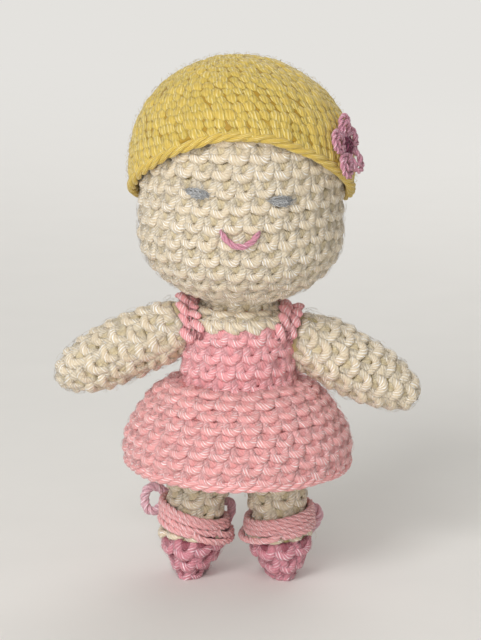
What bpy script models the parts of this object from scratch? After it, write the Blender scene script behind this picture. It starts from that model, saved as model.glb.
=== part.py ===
"""A crocheted ballerina doll, as the pieces that it is sewn together from.

The doll faces -Y and stands on the floor at z = 0, with the origin between its feet. Left and right
are its own, so its left side is at +X. Each limb ends in a gathered, ball-shaped root that turns in a
round seat in the body, and a ring of sewing thread lies between the two. Sizes are in metres.
"""

import math

import bmesh
import bpy
from mathutils import Matrix, Vector

# Fabric, yarn and clearances
MILLIMETRE = 0.001
GAP = 0.0003
FABRIC = 0.0024
THREAD_RADIUS = 0.0005
STUFFING_HOLE_RADIUS = 0.0018
GATHER_ANGLE = math.radians(21.0)
GROOVE_SHARE = 0.3
HIP_GATHER_TILT = math.radians(20.0)

# Body: base, waist and neck
HIP_HEIGHT = 0.0370
BODY_RADIUS = 0.0140
BODY_BASE_RISE = 0.0005
NECK_RISE = 0.0330
NECK_HEIGHT = HIP_HEIGHT + NECK_RISE
NECK_BALL_SHARE = 0.643
NECK_BALL_RADIUS = BODY_RADIUS * NECK_BALL_SHARE
NECK_BASE_SHARE = 0.27
YOKE_DROP = 0.0054
YOKE_HEIGHT = NECK_HEIGHT - YOKE_DROP

# Skirt and its hem
WAIST_RISE = 0.0122
WAIST_HEIGHT = HIP_HEIGHT + WAIST_RISE
SKIRT_DROP = 0.0195
SKIRT_RADIUS = 0.0277
HEM_RADIUS = 0.00125
SKIRT_ROUNDS = 8

# Shoulders and arms; the doll's right shoulder is the higher by twice the tilt
SHOULDER_DROP = 0.0098
SHOULDER_HEIGHT = NECK_HEIGHT - SHOULDER_DROP
SHOULDER_TILT = 0.0012
SHOULDER_OUTSET = 0.0017
ARM_RADIUS = 0.0078
SHOULDER_BALL_SHARE = 0.936
SHOULDER_BALL_RADIUS = ARM_RADIUS * SHOULDER_BALL_SHARE
ARM_LENGTH = 0.0312
LEFT_ARM_DROOP = math.radians(27.7)
RIGHT_ARM_DROOP = math.radians(24.9)

# Shoulder straps, set in from the shoulders at the top and at the feet
STRAP_WIDTH = 0.0034
STRAP_THICKNESS = 0.0012
STRAP_TOP_INSET = 0.0038
STRAP_FOOT_INSET = 0.0061
STRAP_CENTRE_DROP = 0.0032
STRAP_LOW_ANGLE = math.radians(27.0)

# Legs, slippers and what ties them
LEG_RADIUS = 0.0079
HIP_BALL_SHARE = 0.937
HIP_BALL_RADIUS = LEG_RADIUS * HIP_BALL_SHARE
LEG_CLEARANCE = 0.0010
LEG_SPLAY = 0.0022
SLIPPER_HEIGHT = 0.0108
ANKLE_RADIUS = 0.0068
ANKLE_RISE = 0.0032
ANKLE_HEIGHT = SLIPPER_HEIGHT + ANKLE_RISE
FOOT_HALF_WIDTH = 0.0082
FOOT_HALF_LENGTH = 0.0092
TOE_SHIFT = 0.0004
TURNOUT = math.radians(12.0)
RIBBON_RADIUS = 0.0007
RIBBON_PITCH = 0.0019
RIBBON_RISE = 0.0011
LEFT_RIBBON_TURNS = 4
RIGHT_RIBBON_TURNS = 3
RIBBON_POINTS = 24
BOW_STRAND_RADIUS = 0.0009
BOW_RISE = 0.0052
LEFT_BOW_TILT = math.radians(-8.0)
RIGHT_BOW_TILT = math.radians(14.0)
BOW_STANDOFF = 0.0006
BOW_OUTER_REACH = 0.0112
BOW_INNER_REACH = 0.0088
BOW_HALF_HEIGHT = 0.0033
BOW_DEPTH = 0.0030

# Head
HEAD_RADIUS = 0.0247
CHIN_DROP = 0.0174
CHEEK_RISE = 0.0155
CHEEK_HEIGHT = NECK_HEIGHT + CHEEK_RISE
CHEEK_LENGTH = 0.0161
CROWN_HEIGHT = CHEEK_HEIGHT + CHEEK_LENGTH
HEAD_OPENING_SHARE = 0.889
HEAD_OPENING_RADIUS = NECK_BALL_RADIUS * HEAD_OPENING_SHARE

# Cap and its edge braid: the rim over the forehead, and how far it drops at the ears and the nape
CAP_THICKNESS = 0.0025
CAP_FRONT_RISE = 0.0094
CAP_SIDE_DROP = 0.0070
CAP_BACK_DROP = 0.0136
CAP_EDGE_RADIUS = 0.0011
CAP_TILT = math.radians(24.0)
CAP_ROUNDS = 16

# Face and flower
EYE_HALF_WIDTH = 0.0029
EYE_HALF_HEIGHT = 0.0013
EYE_HALF_DEPTH = 0.0007
LEFT_EYE_RISE = 0.0129
RIGHT_EYE_RISE = 0.0149
LEFT_EYE_REACH = 0.0103
RIGHT_EYE_REACH = 0.0106
MOUTH_RADIUS = 0.0006
MOUTH_HALF_WIDTH = 0.0048
MOUTH_RISE = 0.0009
MOUTH_CURL = 0.0040
FLOWER_RADIUS = 0.0078
FLOWER_THICKNESS = 0.0024
FLOWER_RISE = 0.0057
FLOWER_ANGLE = math.radians(68.0)
FLOWER_PETALS = 5

# How finely round things are faceted
HEAD_SIDES = 28
BODY_SIDES = 20
SKIRT_SIDES = 32
LIMB_SIDES = 14
STUFFING_SIDES = 14
CUTTER_SIDES = 16
CUTTER_ROWS = 9
FLOWER_SIDES = 40
EYE_SIDES = 12
TUBE_SIDES = 6
ARC_STEPS = 4
CAP_LINING_ROWS = 8
BRAID_POINTS = 40
BOW_SUBSTEPS = 3

# Height share and radius share of the body, from its base to the foot of the neck
BODY_SHARES = (
    (0.02, 0.45), (0.07, 0.78), (0.16, 0.955), (0.28, 1.0), (0.42, 0.985), (0.58, 1.0),
    (0.76, 1.0), (0.86, 0.975), (0.93, 0.89), (0.975, 0.77),
)
# Drop share and flare share of the skirt, from the waist to the hem
SKIRT_SHARES = (
    (0.0, 0.0), (0.078, 0.262), (0.22, 0.508), (0.34, 0.66), (0.468, 0.794), (0.59, 0.90),
    (0.707, 0.968), (0.878, 1.0), (1.0, 0.97),
)
# Length share and radius share of an arm, from the shoulder to the hand
ARM_SHARES = (
    (0.0, 0.936), (0.12, 0.98), (0.26, 1.0), (0.49, 0.985), (0.67, 0.925), (0.825, 0.735),
    (0.925, 0.54), (0.978, 0.34),
)
# Height share from the slipper's rim to the hip, and how far the radius has grown from ankle to leg
LEG_SHARES = ((0.0, 0.45), (0.13, 0.0), (0.27, 0.30), (0.42, 0.82), (0.58, 1.0), (0.82, 0.95))
# Height share, width share and length share of the slipper, from its flat sole to its rim
SLIPPER_SHARES = (
    (0.0, 0.34, 0.70), (0.09, 0.44, 0.79), (0.20, 0.54, 0.87), (0.37, 0.69, 0.95),
    (0.56, 0.85, 1.0), (0.78, 0.975, 1.0), (1.0, 0.985, 0.93),
)
# Radius share, rise share and petal share of the flower's rings, from its raised eye to its back
FLOWER_SHARES = (
    (0.16, 0.62, 0.0), (0.34, 0.95, 0.2), (0.70, 1.0, 0.7), (1.0, 0.55, 1.0), (0.72, 0.0, 0.7),
)
PETAL_DEPTH_SHARE = 0.22
# Side share, depth share and height share of the points round a bow's two loops
BOW_LOOP_SHARES = (
    (0.10, 0.0, 0.0), (0.40, 0.1, 0.55), (0.80, 0.0, 0.85), (1.0, -0.2, 0.35), (0.93, -0.3, -0.35),
    (0.62, -0.1, -0.85), (0.28, 0.3, -0.55), (0.10, 0.9, -0.15),
)

CREAM = (0.66, 0.58, 0.38)
YELLOW = (0.58, 0.41, 0.09)
PINK = (0.64, 0.24, 0.22)
ROSE = (0.56, 0.17, 0.17)
DUSTY_PINK = (0.52, 0.24, 0.28)
MAUVE = (0.56, 0.24, 0.33)
BLUE_GREY = (0.23, 0.28, 0.32)
WHITE = (0.80, 0.80, 0.78)


def clear_scene():
    """Removes whatever the scene holds."""
    for thing in list(bpy.data.objects):
        bpy.data.objects.remove(thing, do_unlink=True)


def yarn_finish(name, colour, roughness=0.75):
    """A plain yarn material of one colour."""
    material = bpy.data.materials.new(name)
    material.use_nodes = True
    shader = material.node_tree.nodes["Principled BSDF"]
    shader.inputs["Base Color"].default_value = (*colour, 1.0)
    shader.inputs["Roughness"].default_value = roughness
    shader.inputs["Metallic"].default_value = 0.0
    return material


def holder(name, place, turn=None):
    """An empty on a joint's centre, which carries the pieces that turn there."""
    empty = bpy.data.objects.new(name, None)
    empty.matrix_world = Matrix.Translation(place) @ (turn or Matrix.Identity(4))
    bpy.context.scene.collection.objects.link(empty)
    return empty


def skinned(name, rings, material, parent=None, closed=False):
    """One closed body through rings of points. A ring of one point is a pole; closed joins last to first."""
    mesh = bmesh.new()
    rows = [[mesh.verts.new(point) for point in ring] for ring in rings]
    pairs = list(zip(rows, rows[1:]))
    if closed:
        pairs.append((rows[-1], rows[0]))
    for low, high in pairs:
        count = max(len(low), len(high))
        if count == 1:
            continue
        for i in range(count):
            j = (i + 1) % count
            if len(low) == 1:
                mesh.faces.new((low[0], high[i], high[j]))
            elif len(high) == 1:
                mesh.faces.new((low[i], low[j], high[0]))
            else:
                mesh.faces.new((low[i], low[j], high[j], high[i]))
    if not closed:
        for row in (rows[0], rows[-1]):
            if len(row) > 1:
                mesh.faces.new(row)
    bmesh.ops.recalc_face_normals(mesh, faces=mesh.faces)
    data = bpy.data.meshes.new(name)
    mesh.to_mesh(data)
    mesh.free()
    data.materials.append(material)
    data.shade_smooth()
    piece = bpy.data.objects.new(name, data)
    bpy.context.scene.collection.objects.link(piece)
    piece.parent = parent
    return piece


def round_ring(radius, height, sides):
    """A level circle about Z, or a pole where the radius is zero."""
    if radius <= 0:
        return [Vector((0, 0, height))]
    return [
        Vector((radius * math.cos(a), radius * math.sin(a), height))
        for a in (math.tau * i / sides for i in range(sides))
    ]


def turned(name, outline, sides, material, parent=None, closed=True):
    """A body turned about Z from an outline of radius and height, which is closed from last to first."""
    rings = [round_ring(radius, height, sides) for radius, height in outline]
    return skinned(name, rings, material, parent, closed)


def frames_along(path, loop=False):
    """Each point of a path with two unit vectors across it, carried along with the least twist."""
    count = len(path)
    found = []
    side = None
    for i, point in enumerate(path):
        before = path[i - 1] if loop or i else point
        after = path[(i + 1) % count] if loop or i < count - 1 else point
        ahead = (after - before).normalized()
        if side is None:
            side = ahead.orthogonal()
        side = (side - ahead * side.dot(ahead)).normalized()
        found.append((point, side, ahead.cross(side)))
    return found


def tube(name, path, radius, material, parent=None, loop=False):
    """A round tube along a path, closed by flat caps or joined end to end."""
    rings = [
        [point + (u * math.cos(a) + v * math.sin(a)) * radius
         for a in (math.tau * i / TUBE_SIDES for i in range(TUBE_SIDES))]
        for point, u, v in frames_along(path, loop)
    ]
    return skinned(name, rings, material, parent, closed=loop)


def smoothed(points):
    """The points of a path with others between them, on a curve that bends evenly through all."""
    path = []
    for i, (start, end) in enumerate(zip(points, points[1:])):
        before = points[max(i - 1, 0)]
        after = points[min(i + 2, len(points) - 1)]
        for step in range(BOW_SUBSTEPS):
            t = step / BOW_SUBSTEPS
            pull_start = (end - before) / 2
            pull_end = (after - start) / 2
            path.append(
                start * (1 - t) ** 2 * (1 + 2 * t) + end * t ** 2 * (3 - 2 * t)
                + pull_start * t * (1 - t) ** 2 - pull_end * t ** 2 * (1 - t)
            )
    return path + [points[-1]]


def ball_cutter(centre, radius):
    """A wire ball that other pieces are cut with, kept out of renders."""
    mesh = bmesh.new()
    bmesh.ops.create_uvsphere(mesh, u_segments=CUTTER_SIDES, v_segments=CUTTER_ROWS, radius=radius)
    data = bpy.data.meshes.new("ball_cutter")
    mesh.to_mesh(data)
    mesh.free()
    cutter = bpy.data.objects.new("ball_cutter", data)
    cutter.location = centre
    cutter.hide_render = True
    cutter.display_type = "WIRE"
    bpy.context.scene.collection.objects.link(cutter)
    return cutter


def seat_radius(ball_radius):
    """The least radius of a faceted ball cutter whose flats still clear the ball by the gap."""
    flat_share = math.cos(math.pi / CUTTER_SIDES) * math.cos(math.pi / (2 * CUTTER_ROWS))
    return (ball_radius + GAP) / flat_share


def cut(piece, cutter):
    """Takes the cutter's space out of a piece."""
    modifier = piece.modifiers.new("seat", "BOOLEAN")
    modifier.operation = "DIFFERENCE"
    modifier.object = cutter


def thread_seat(ball_radius):
    """The radius that holds a ball, its ring of thread and the gaps between them."""
    return ball_radius + GAP + 2 * THREAD_RADIUS


def thread_ring(name, ball_radius, axis, material, parent):
    """The ring of sewing thread over a gathered root, centred on the axis that the root points along."""
    reach = ball_radius + GAP + THREAD_RADIUS
    turn = Vector((0, 0, 1)).rotation_difference(axis).to_matrix()
    ring = round_ring(reach * math.sin(GATHER_ANGLE), reach * math.cos(GATHER_ANGLE), LIMB_SIDES)
    return tube(name, [turn @ point for point in ring], THREAD_RADIUS, material, parent, loop=True)


def shoulder_place(side):
    """The centre of a shoulder; the doll's right one sits a little higher."""
    reach = BODY_RADIUS + SHOULDER_OUTSET
    return Vector((side * reach, 0, SHOULDER_HEIGHT - side * SHOULDER_TILT))


def hip_place(side):
    """The centre of a hip, spaced so that the thighs just miss each other."""
    return Vector((side * (LEG_RADIUS + LEG_CLEARANCE / 2), 0, HIP_HEIGHT))


def neck_place():
    """The centre of the neck, on which the head turns and nods."""
    return Vector((0, 0, NECK_HEIGHT))


def body_outline(inset):
    """Radius and height of the body, from the pole of its base to the pole of the ball in the neck."""
    low = HIP_HEIGHT + BODY_BASE_RISE + inset
    ball = NECK_BALL_RADIUS - inset
    neck_foot = NECK_HEIGHT - NECK_BALL_RADIUS * NECK_BASE_SHARE
    points = [(0, low)]
    points += [((BODY_RADIUS - inset) * r, low + (neck_foot - low) * h) for h, r in BODY_SHARES]
    start = -math.asin(NECK_BASE_SHARE)
    for i in range(2 * ARC_STEPS):
        angle = start + (math.pi / 2 - start) * i / (2 * ARC_STEPS)
        points.append((ball * math.cos(angle), NECK_HEIGHT + ball * math.sin(angle)))
    points.append((0, NECK_HEIGHT + ball))
    return points


def radius_at(outline, height):
    """The radius of an outline at a height, between its points."""
    for (r0, z0), (r1, z1) in zip(outline, outline[1:]):
        if z0 <= height <= z1:
            return r0 + (r1 - r0) * (height - z0) / (z1 - z0)
    return 0


def part_of(outline, low, high):
    """The stretch of an outline between two heights, with a point at each that lies on it."""
    inner = [(r, z) for r, z in outline if low < z < high]
    first = [(radius_at(outline, low), low)] if outline[0][1] < low else [outline[0]]
    last = [(radius_at(outline, high), high)] if outline[-1][1] > high else [outline[-1]]
    return first + [p for p in inner if p not in (first[0], last[0])] + last


def head_outline(inset):
    """Radius and height of the head: a quarter ellipse for the chin, a straight cheek, a round crown."""
    wide = HEAD_RADIUS - inset
    start = math.acos(HEAD_OPENING_RADIUS / HEAD_RADIUS)
    points = []
    for i in range(ARC_STEPS + 1):
        angle = start * (1 - i / ARC_STEPS)
        drop = (CHIN_DROP - inset) * math.sin(angle)
        points.append((wide * math.cos(angle), CHEEK_HEIGHT - drop))
    for i in range(ARC_STEPS + 1):
        angle = math.pi / 2 * i / (ARC_STEPS + 1)
        points.append((wide * math.cos(angle), CROWN_HEIGHT + wide * math.sin(angle)))
    points.append((0, CROWN_HEIGHT + wide))
    return points


def on_head(angle, height, lift):
    """A point over the head's cheek or crown at an angle from the front, lifted off its surface."""
    if height <= CROWN_HEIGHT:
        reach = HEAD_RADIUS + lift
        return Vector((reach * math.sin(angle), -reach * math.cos(angle), height))
    rise = math.asin((height - CROWN_HEIGHT) / HEAD_RADIUS)
    reach = (HEAD_RADIUS + lift) * math.cos(rise)
    top = CROWN_HEIGHT + (HEAD_RADIUS + lift) * math.sin(rise)
    return Vector((reach * math.sin(angle), -reach * math.cos(angle), top))


def rim_height(angle):
    """How high the cap's rim is at an angle from the front, from its three named heights."""
    middle = (CAP_FRONT_RISE - CAP_BACK_DROP) / 2
    sway = (CAP_FRONT_RISE + CAP_BACK_DROP) / 2
    mean = (middle - CAP_SIDE_DROP) / 2
    dip = (middle + CAP_SIDE_DROP) / 2
    return CROWN_HEIGHT + mean + sway * math.cos(angle) + dip * math.cos(2 * angle)


def down_from_crown(height):
    """The length over the head from the crown's pole down to a height."""
    if height >= CROWN_HEIGHT:
        return HEAD_RADIUS * math.acos((height - CROWN_HEIGHT) / HEAD_RADIUS)
    return HEAD_RADIUS * math.pi / 2 + CROWN_HEIGHT - height


def cap_place(angle, share):
    """The angle and the run of a point on the way from where the cap is begun to its rim.

    The cap is begun behind the crown, at the tilt, and the way there is the shortest one round the head.
    """
    edge_width = 2 * CAP_EDGE_RADIUS + GAP
    rim = cap_point(angle, down_from_crown(rim_height(angle)) - edge_width, 0) - Vector((0, 0, CROWN_HEIGHT))
    begun = Vector((0, math.sin(CAP_TILT), math.cos(CAP_TILT)))
    ahead = begun.slerp(rim.normalized(), share)
    flat = math.hypot(ahead.x, ahead.y)
    run = HEAD_RADIUS * math.acos(ahead.z) if ahead.z > 0 else HEAD_RADIUS * (math.pi / 2 - ahead.z / flat)
    return math.atan2(ahead.x, -ahead.y), run


def cap_point(angle, run, lift):
    """A point at a length down from the crown's pole, lifted off the head."""
    quarter = HEAD_RADIUS * math.pi / 2
    if run > quarter:
        reach = HEAD_RADIUS + lift
        return Vector((reach * math.sin(angle), -reach * math.cos(angle), CROWN_HEIGHT + quarter - run))
    polar = run / HEAD_RADIUS
    reach = (HEAD_RADIUS + lift) * math.sin(polar)
    top = CROWN_HEIGHT + (HEAD_RADIUS + lift) * math.cos(polar)
    return Vector((reach * math.sin(angle), -reach * math.cos(angle), top))


def make_torso(cream, pink, white):
    """The stuffed body in its two yarns, the straps over it, and the skirt."""
    outer = body_outline(0)
    inner = body_outline(FABRIC)
    bodice_edge = YOKE_HEIGHT - GAP
    top = outer[-1][1]
    base = outer[0][1]
    bodice = part_of(outer, base, bodice_edge) + part_of(inner, base, bodice_edge)[::-1]
    yoke = part_of(outer, YOKE_HEIGHT, top) + part_of(inner, YOKE_HEIGHT, top)[::-1]
    pieces = [
        turned("bodice", bodice, BODY_SIDES, pink),
        turned("yoke", yoke, BODY_SIDES, cream),
    ]
    stuffing = turned("torso_stuffing", body_outline(FABRIC + GAP), STUFFING_SIDES, white)
    for place, radius in root_balls():
        seat = ball_cutter(place, seat_radius(radius))
        for piece in pieces:
            cut(piece, seat)
        cut(stuffing, ball_cutter(place, seat_radius(thread_seat(radius))))
    for side, name in ((1, "left_strap"), (-1, "right_strap")):
        make_strap(name, side, pink)
    make_skirt(pink)


def root_balls():
    """The centre and radius of each limb's gathered root."""
    shoulders = [(shoulder_place(side), SHOULDER_BALL_RADIUS) for side in (1, -1)]
    hips = [(hip_place(side), HIP_BALL_RADIUS) for side in (1, -1)]
    return shoulders + hips


def strap_surface(side, reach, angle):
    """How far a ray over the shoulder runs before it leaves the body and the arm's root."""
    outline = body_outline(0)
    place = shoulder_place(side)
    centre = Vector((side * reach, 0, SHOULDER_HEIGHT - STRAP_CENTRE_DROP))
    ahead = Vector((0, -math.cos(angle), math.sin(angle)))
    near = 0.0
    far = 2 * BODY_RADIUS
    steps = 4 * LIMB_SIDES
    last = near
    for i in range(steps + 1):
        run = near + (far - near) * i / steps
        point = centre + ahead * run
        in_body = math.hypot(point.x, point.y) < radius_at(outline, point.z)
        in_root = (point - place).length < SHOULDER_BALL_RADIUS
        if in_body or in_root:
            last = run
    return centre, ahead, last + (far - near) / steps


def make_strap(name, side, material):
    """A band that lies on the shoulder, with both edges resting on what is under them."""
    rings = []
    count = 3 * ARC_STEPS
    shoulder = BODY_RADIUS + SHOULDER_OUTSET
    for i in range(count + 1):
        angle = STRAP_LOW_ANGLE + (math.pi - 2 * STRAP_LOW_ANGLE) * i / count
        inset = STRAP_FOOT_INSET + (STRAP_TOP_INSET - STRAP_FOOT_INSET) * math.sin(angle)
        reach = shoulder - inset
        ring = []
        for edge in (-1, 0, 1):
            centre, ahead, run = strap_surface(side, reach + edge * STRAP_WIDTH / 2, angle)
            ring.append(centre + ahead * (run + GAP))
        for edge in (1, 0, -1):
            centre, ahead, run = strap_surface(side, reach + edge * STRAP_WIDTH / 2, angle)
            ring.append(centre + ahead * (run + GAP + STRAP_THICKNESS))
        rings.append(ring)
    skinned(name, rings, material)


def ridged(outline, rounds, depth):
    """An outline with a ridge for each round of stitches, at even steps along it, and grooves between."""
    runs = [0.0]
    for (r0, z0), (r1, z1) in zip(outline, outline[1:]):
        runs.append(runs[-1] + math.hypot(r1 - r0, z1 - z0))
    points = []
    for step in range(2 * rounds + 1):
        run = runs[-1] * step / (2 * rounds)
        i = max(k for k in range(len(runs) - 1) if runs[k] <= run)
        (r0, z0), (r1, z1) = outline[i], outline[i + 1]
        length = runs[i + 1] - runs[i]
        share = (run - runs[i]) / length
        inset = depth * (step % 2)
        points.append((
            r0 + (r1 - r0) * share - inset * (z0 - z1) / length,
            z0 + (z1 - z0) * share - inset * (r1 - r0) / length,
        ))
    return points


def make_skirt(material):
    """The bell of the skirt, open below, with a ridge for each round of stitches, and the rope of its hem."""
    start = BODY_RADIUS + GAP + FABRIC / 2
    outer = [
        (start + (SKIRT_RADIUS - start) * flare, WAIST_HEIGHT - SKIRT_DROP * drop)
        for drop, flare in SKIRT_SHARES
    ]
    inner = []
    for i, (radius, height) in enumerate(outer):
        r0, z0 = outer[max(i - 1, 0)]
        r1, z1 = outer[min(i + 1, len(outer) - 1)]
        length = math.hypot(r1 - r0, z1 - z0)
        inner.append((radius - FABRIC * (z0 - z1) / length, height - FABRIC * (r1 - r0) / length))
    inner[0] = (BODY_RADIUS + GAP, WAIST_HEIGHT)
    inner[-1] = (outer[-1][0] - FABRIC, outer[-1][1])
    turned("skirt", ridged(outer, SKIRT_ROUNDS, FABRIC * GROOVE_SHARE) + inner[::-1], SKIRT_SIDES, material)
    hem_height = WAIST_HEIGHT - SKIRT_DROP - GAP - HEM_RADIUS
    hem = round_ring(SKIRT_RADIUS - HEM_RADIUS, hem_height, SKIRT_SIDES)
    tube("skirt_hem", hem, HEM_RADIUS, material, loop=True)


def make_arm(side, name, droop, cream, white, thread):
    """An arm on its shoulder, hanging outwards and down by its droop, with its stuffing and thread."""
    place = shoulder_place(side)
    turn = Matrix.Rotation(-side * (math.pi / 2 - droop), 4, "Y")
    joint = holder(name + "_shoulder", place)
    lift = holder(name + "_lift", Vector(), turn)
    lift.parent = joint
    outer = arm_outline(0)
    inner = arm_outline(FABRIC)
    turned(name, outer + inner[::-1], LIMB_SIDES, cream, lift)
    turned(name + "_stuffing", arm_outline(FABRIC + GAP, whole=True), STUFFING_SIDES, white, lift)
    thread_ring(
        name.replace("arm", "shoulder_thread"), SHOULDER_BALL_RADIUS, Vector((-side, 0, 0)), thread, joint
    )


def arm_outline(inset, whole=False):
    """Radius and height of an arm that hangs down from its root, from the hand's pole up to the hole."""
    points = [(0, -(ARM_LENGTH - inset))]
    for along, wide in ARM_SHARES[::-1]:
        points.append(((ARM_RADIUS - inset) * wide, -(ARM_LENGTH - inset) * along))
    ball = SHOULDER_BALL_RADIUS - inset
    points[-1] = (ball, 0)
    return points + ball_outline(ball, 0, whole)


def ball_outline(ball, height, whole):
    """The upper half of a root's ball, ending at the stuffing hole or, when whole, at its pole."""
    end = math.pi / 2 if whole else math.acos(STUFFING_HOLE_RADIUS / ball)
    points = []
    for i in range(1, ARC_STEPS + 1):
        angle = end * i / ARC_STEPS
        points.append((ball * math.cos(angle), height + ball * math.sin(angle)))
    if whole:
        points[-1] = (0, height + ball)
    return points


def leg_ring(side, height, half_width, half_length):
    """A ring of a leg at a height over the floor, about the hip. Below it splays out and turns its toe."""
    drop = min(1.0, max(0.0, (HIP_HEIGHT - height) / (HIP_HEIGHT - ANKLE_HEIGHT)))
    below = max(0.0, 1 - height / ANKLE_HEIGHT)
    turn = side * TURNOUT
    outwards = side * LEG_SPLAY * drop ** 2
    centre = Vector((outwards, 0, height - HIP_HEIGHT))
    centre += Vector((math.sin(turn), -math.cos(turn), 0)) * TOE_SHIFT * below
    ring = []
    for i in range(LIMB_SIDES):
        angle = math.tau * i / LIMB_SIDES
        across = half_width * math.cos(angle)
        along = half_length * math.sin(angle)
        ring.append(centre + Vector((
            across * math.cos(turn) - along * math.sin(turn),
            across * math.sin(turn) + along * math.cos(turn),
            0,
        )))
    return ring


def slipper_sections(inset):
    """Height, half width and half length of the slipper from sole to rim."""
    rise = SLIPPER_HEIGHT - inset
    return [
        (inset + rise * h, (FOOT_HALF_WIDTH - inset) * w, (FOOT_HALF_LENGTH - inset) * n)
        for h, w, n in SLIPPER_SHARES
    ]


def leg_sections(inset, whole=False):
    """Height, half width and half length of the leg from the slipper's rim to the root's hole."""
    low = SLIPPER_HEIGHT + GAP
    rise = HIP_HEIGHT - low
    sections = []
    for h, grown in LEG_SHARES:
        radius = ANKLE_RADIUS + (LEG_RADIUS - ANKLE_RADIUS) * grown - inset
        sections.append((low + rise * h, radius, radius))
    ball = HIP_BALL_RADIUS - inset
    sections.append((HIP_HEIGHT, ball, ball))
    sections += [(z, r, r) for r, z in ball_outline(ball, HIP_HEIGHT, whole)]
    return sections


def leg_rings(side, sections):
    """Rings through sections, with a pole where a section has no width."""
    rings = []
    for height, half_width, half_length in sections:
        if half_width <= 0:
            rings.append([Vector((0, 0, height - HIP_HEIGHT))])
        else:
            rings.append(leg_ring(side, height, half_width, half_length))
    return rings


def make_leg(side, name, turns, tilt, finishes):
    """A leg on its hip: the cream tube, its slipper, its stuffing, ribbon and bow."""
    cream, rose, ribbon, bow, white, thread = finishes
    joint = holder(name + "_hip", hip_place(side))
    swing = holder(name + "_swing", Vector())
    swing.parent = joint
    tube_rings = leg_rings(side, leg_sections(0) + leg_sections(FABRIC)[::-1])
    skinned(name, tube_rings, cream, swing, closed=True)
    cup = leg_rings(side, slipper_sections(0)) + leg_rings(side, slipper_sections(FABRIC))[::-1]
    skinned(name.replace("leg", "slipper"), cup, rose, swing)
    fill = slipper_sections(FABRIC + GAP) + leg_sections(FABRIC + GAP, whole=True)
    skinned(name + "_stuffing", leg_rings(side, fill), white, swing)
    wind_ribbon(side, name.replace("leg", "ribbon"), turns, ribbon, swing)
    tie_bow(side, name.replace("leg", "bow"), tilt, bow, swing)
    inwards = Vector((-side * math.sin(HIP_GATHER_TILT), 0, math.cos(HIP_GATHER_TILT)))
    thread_ring(name.replace("leg", "hip_thread"), HIP_BALL_RADIUS, inwards, thread, joint)


def leg_radius_at(height):
    """The leg's radius at a height over the floor."""
    sections = [(r, z) for z, r, _ in leg_sections(0)]
    return radius_at(sections, height)


def leg_centre_at(side, height):
    """The middle of the leg at a height over the floor, about the hip."""
    ring = leg_ring(side, height, LEG_RADIUS, LEG_RADIUS)
    return sum(ring, Vector()) / len(ring)


def wind_ribbon(side, name, turns, material, parent):
    """The ribbon's yarn, one strand wound up round the ankle, and its least gap to itself."""
    path = []
    count = turns * RIBBON_POINTS
    for i in range(count + 1):
        height = SLIPPER_HEIGHT + RIBBON_RISE + RIBBON_PITCH * i / RIBBON_POINTS
        reach = leg_radius_at(height) / math.cos(math.pi / LIMB_SIDES) + GAP + RIBBON_RADIUS
        reach /= math.cos(math.pi / RIBBON_POINTS)
        angle = math.pi / 2 + side * math.tau * i / RIBBON_POINTS
        path.append(leg_centre_at(side, height) + Vector((math.cos(angle), math.sin(angle), 0)) * reach)
    tube(name, path, RIBBON_RADIUS, material, parent)
    least = min(
        (path[i] - path[j]).length
        for i in range(count + 1)
        for j in range(i + RIBBON_POINTS // 2, count + 1)
    )
    print(name, "least gap to itself in mm:", round((least - 2 * RIBBON_RADIUS) / MILLIMETRE, 2))


def tie_bow(side, name, tilt, material, parent):
    """The bow behind the ankle: one strand round its outer loop, past the knot and round its inner loop."""
    height = SLIPPER_HEIGHT + BOW_RISE
    radius = leg_radius_at(height) + 2 * GAP + 2 * RIBBON_RADIUS + BOW_STRAND_RADIUS + BOW_STANDOFF
    knot = leg_centre_at(side, height) + Vector((0, radius, 0))
    loops = []
    for reach in (side * BOW_OUTER_REACH, -side * BOW_INNER_REACH):
        loops.append([
            Vector((reach * x, BOW_DEPTH * y, BOW_HALF_HEIGHT * z)) for x, y, z in BOW_LOOP_SHARES
        ])
    turn = Matrix.Rotation(-side * tilt, 3, "Y")
    path = smoothed([knot + turn @ point for point in loops[0] + loops[1][::-1]])
    tube(name, path, BOW_STRAND_RADIUS, material, parent)


def make_head(cream, white, yellow, mauve, blue, thread):
    """The head on its neck: shell, stuffing, cap, face and flower."""
    turn = holder("head_turn", neck_place())
    nod = holder("head_nod", Vector())
    nod.parent = turn
    to_neck = Matrix.Translation(-neck_place())
    pieces = []
    outer = head_outline(0)
    inner = head_outline(FABRIC)
    shell = turned("head_shell", outer + inner[::-1], HEAD_SIDES, cream)
    stuffing = turned("head_stuffing", head_outline(FABRIC + GAP), STUFFING_SIDES, white, closed=False)
    pieces += [shell, stuffing, make_cap(yellow), make_cap_edge(yellow)]
    pieces += [make_eye("left_eye", LEFT_EYE_REACH, LEFT_EYE_RISE, blue)]
    pieces += [make_eye("right_eye", -RIGHT_EYE_REACH, RIGHT_EYE_RISE, blue)]
    pieces += [make_mouth(mauve), make_flower(mauve)]
    for piece in pieces:
        piece.data.transform(to_neck)
        piece.parent = nod
    cut(shell, ball_cutter(neck_place(), seat_radius(NECK_BALL_RADIUS)))
    cut(stuffing, ball_cutter(neck_place(), seat_radius(thread_seat(NECK_BALL_RADIUS))))
    thread_ring("neck_thread", NECK_BALL_RADIUS, Vector((0, 0, 1)), thread, turn)


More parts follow.
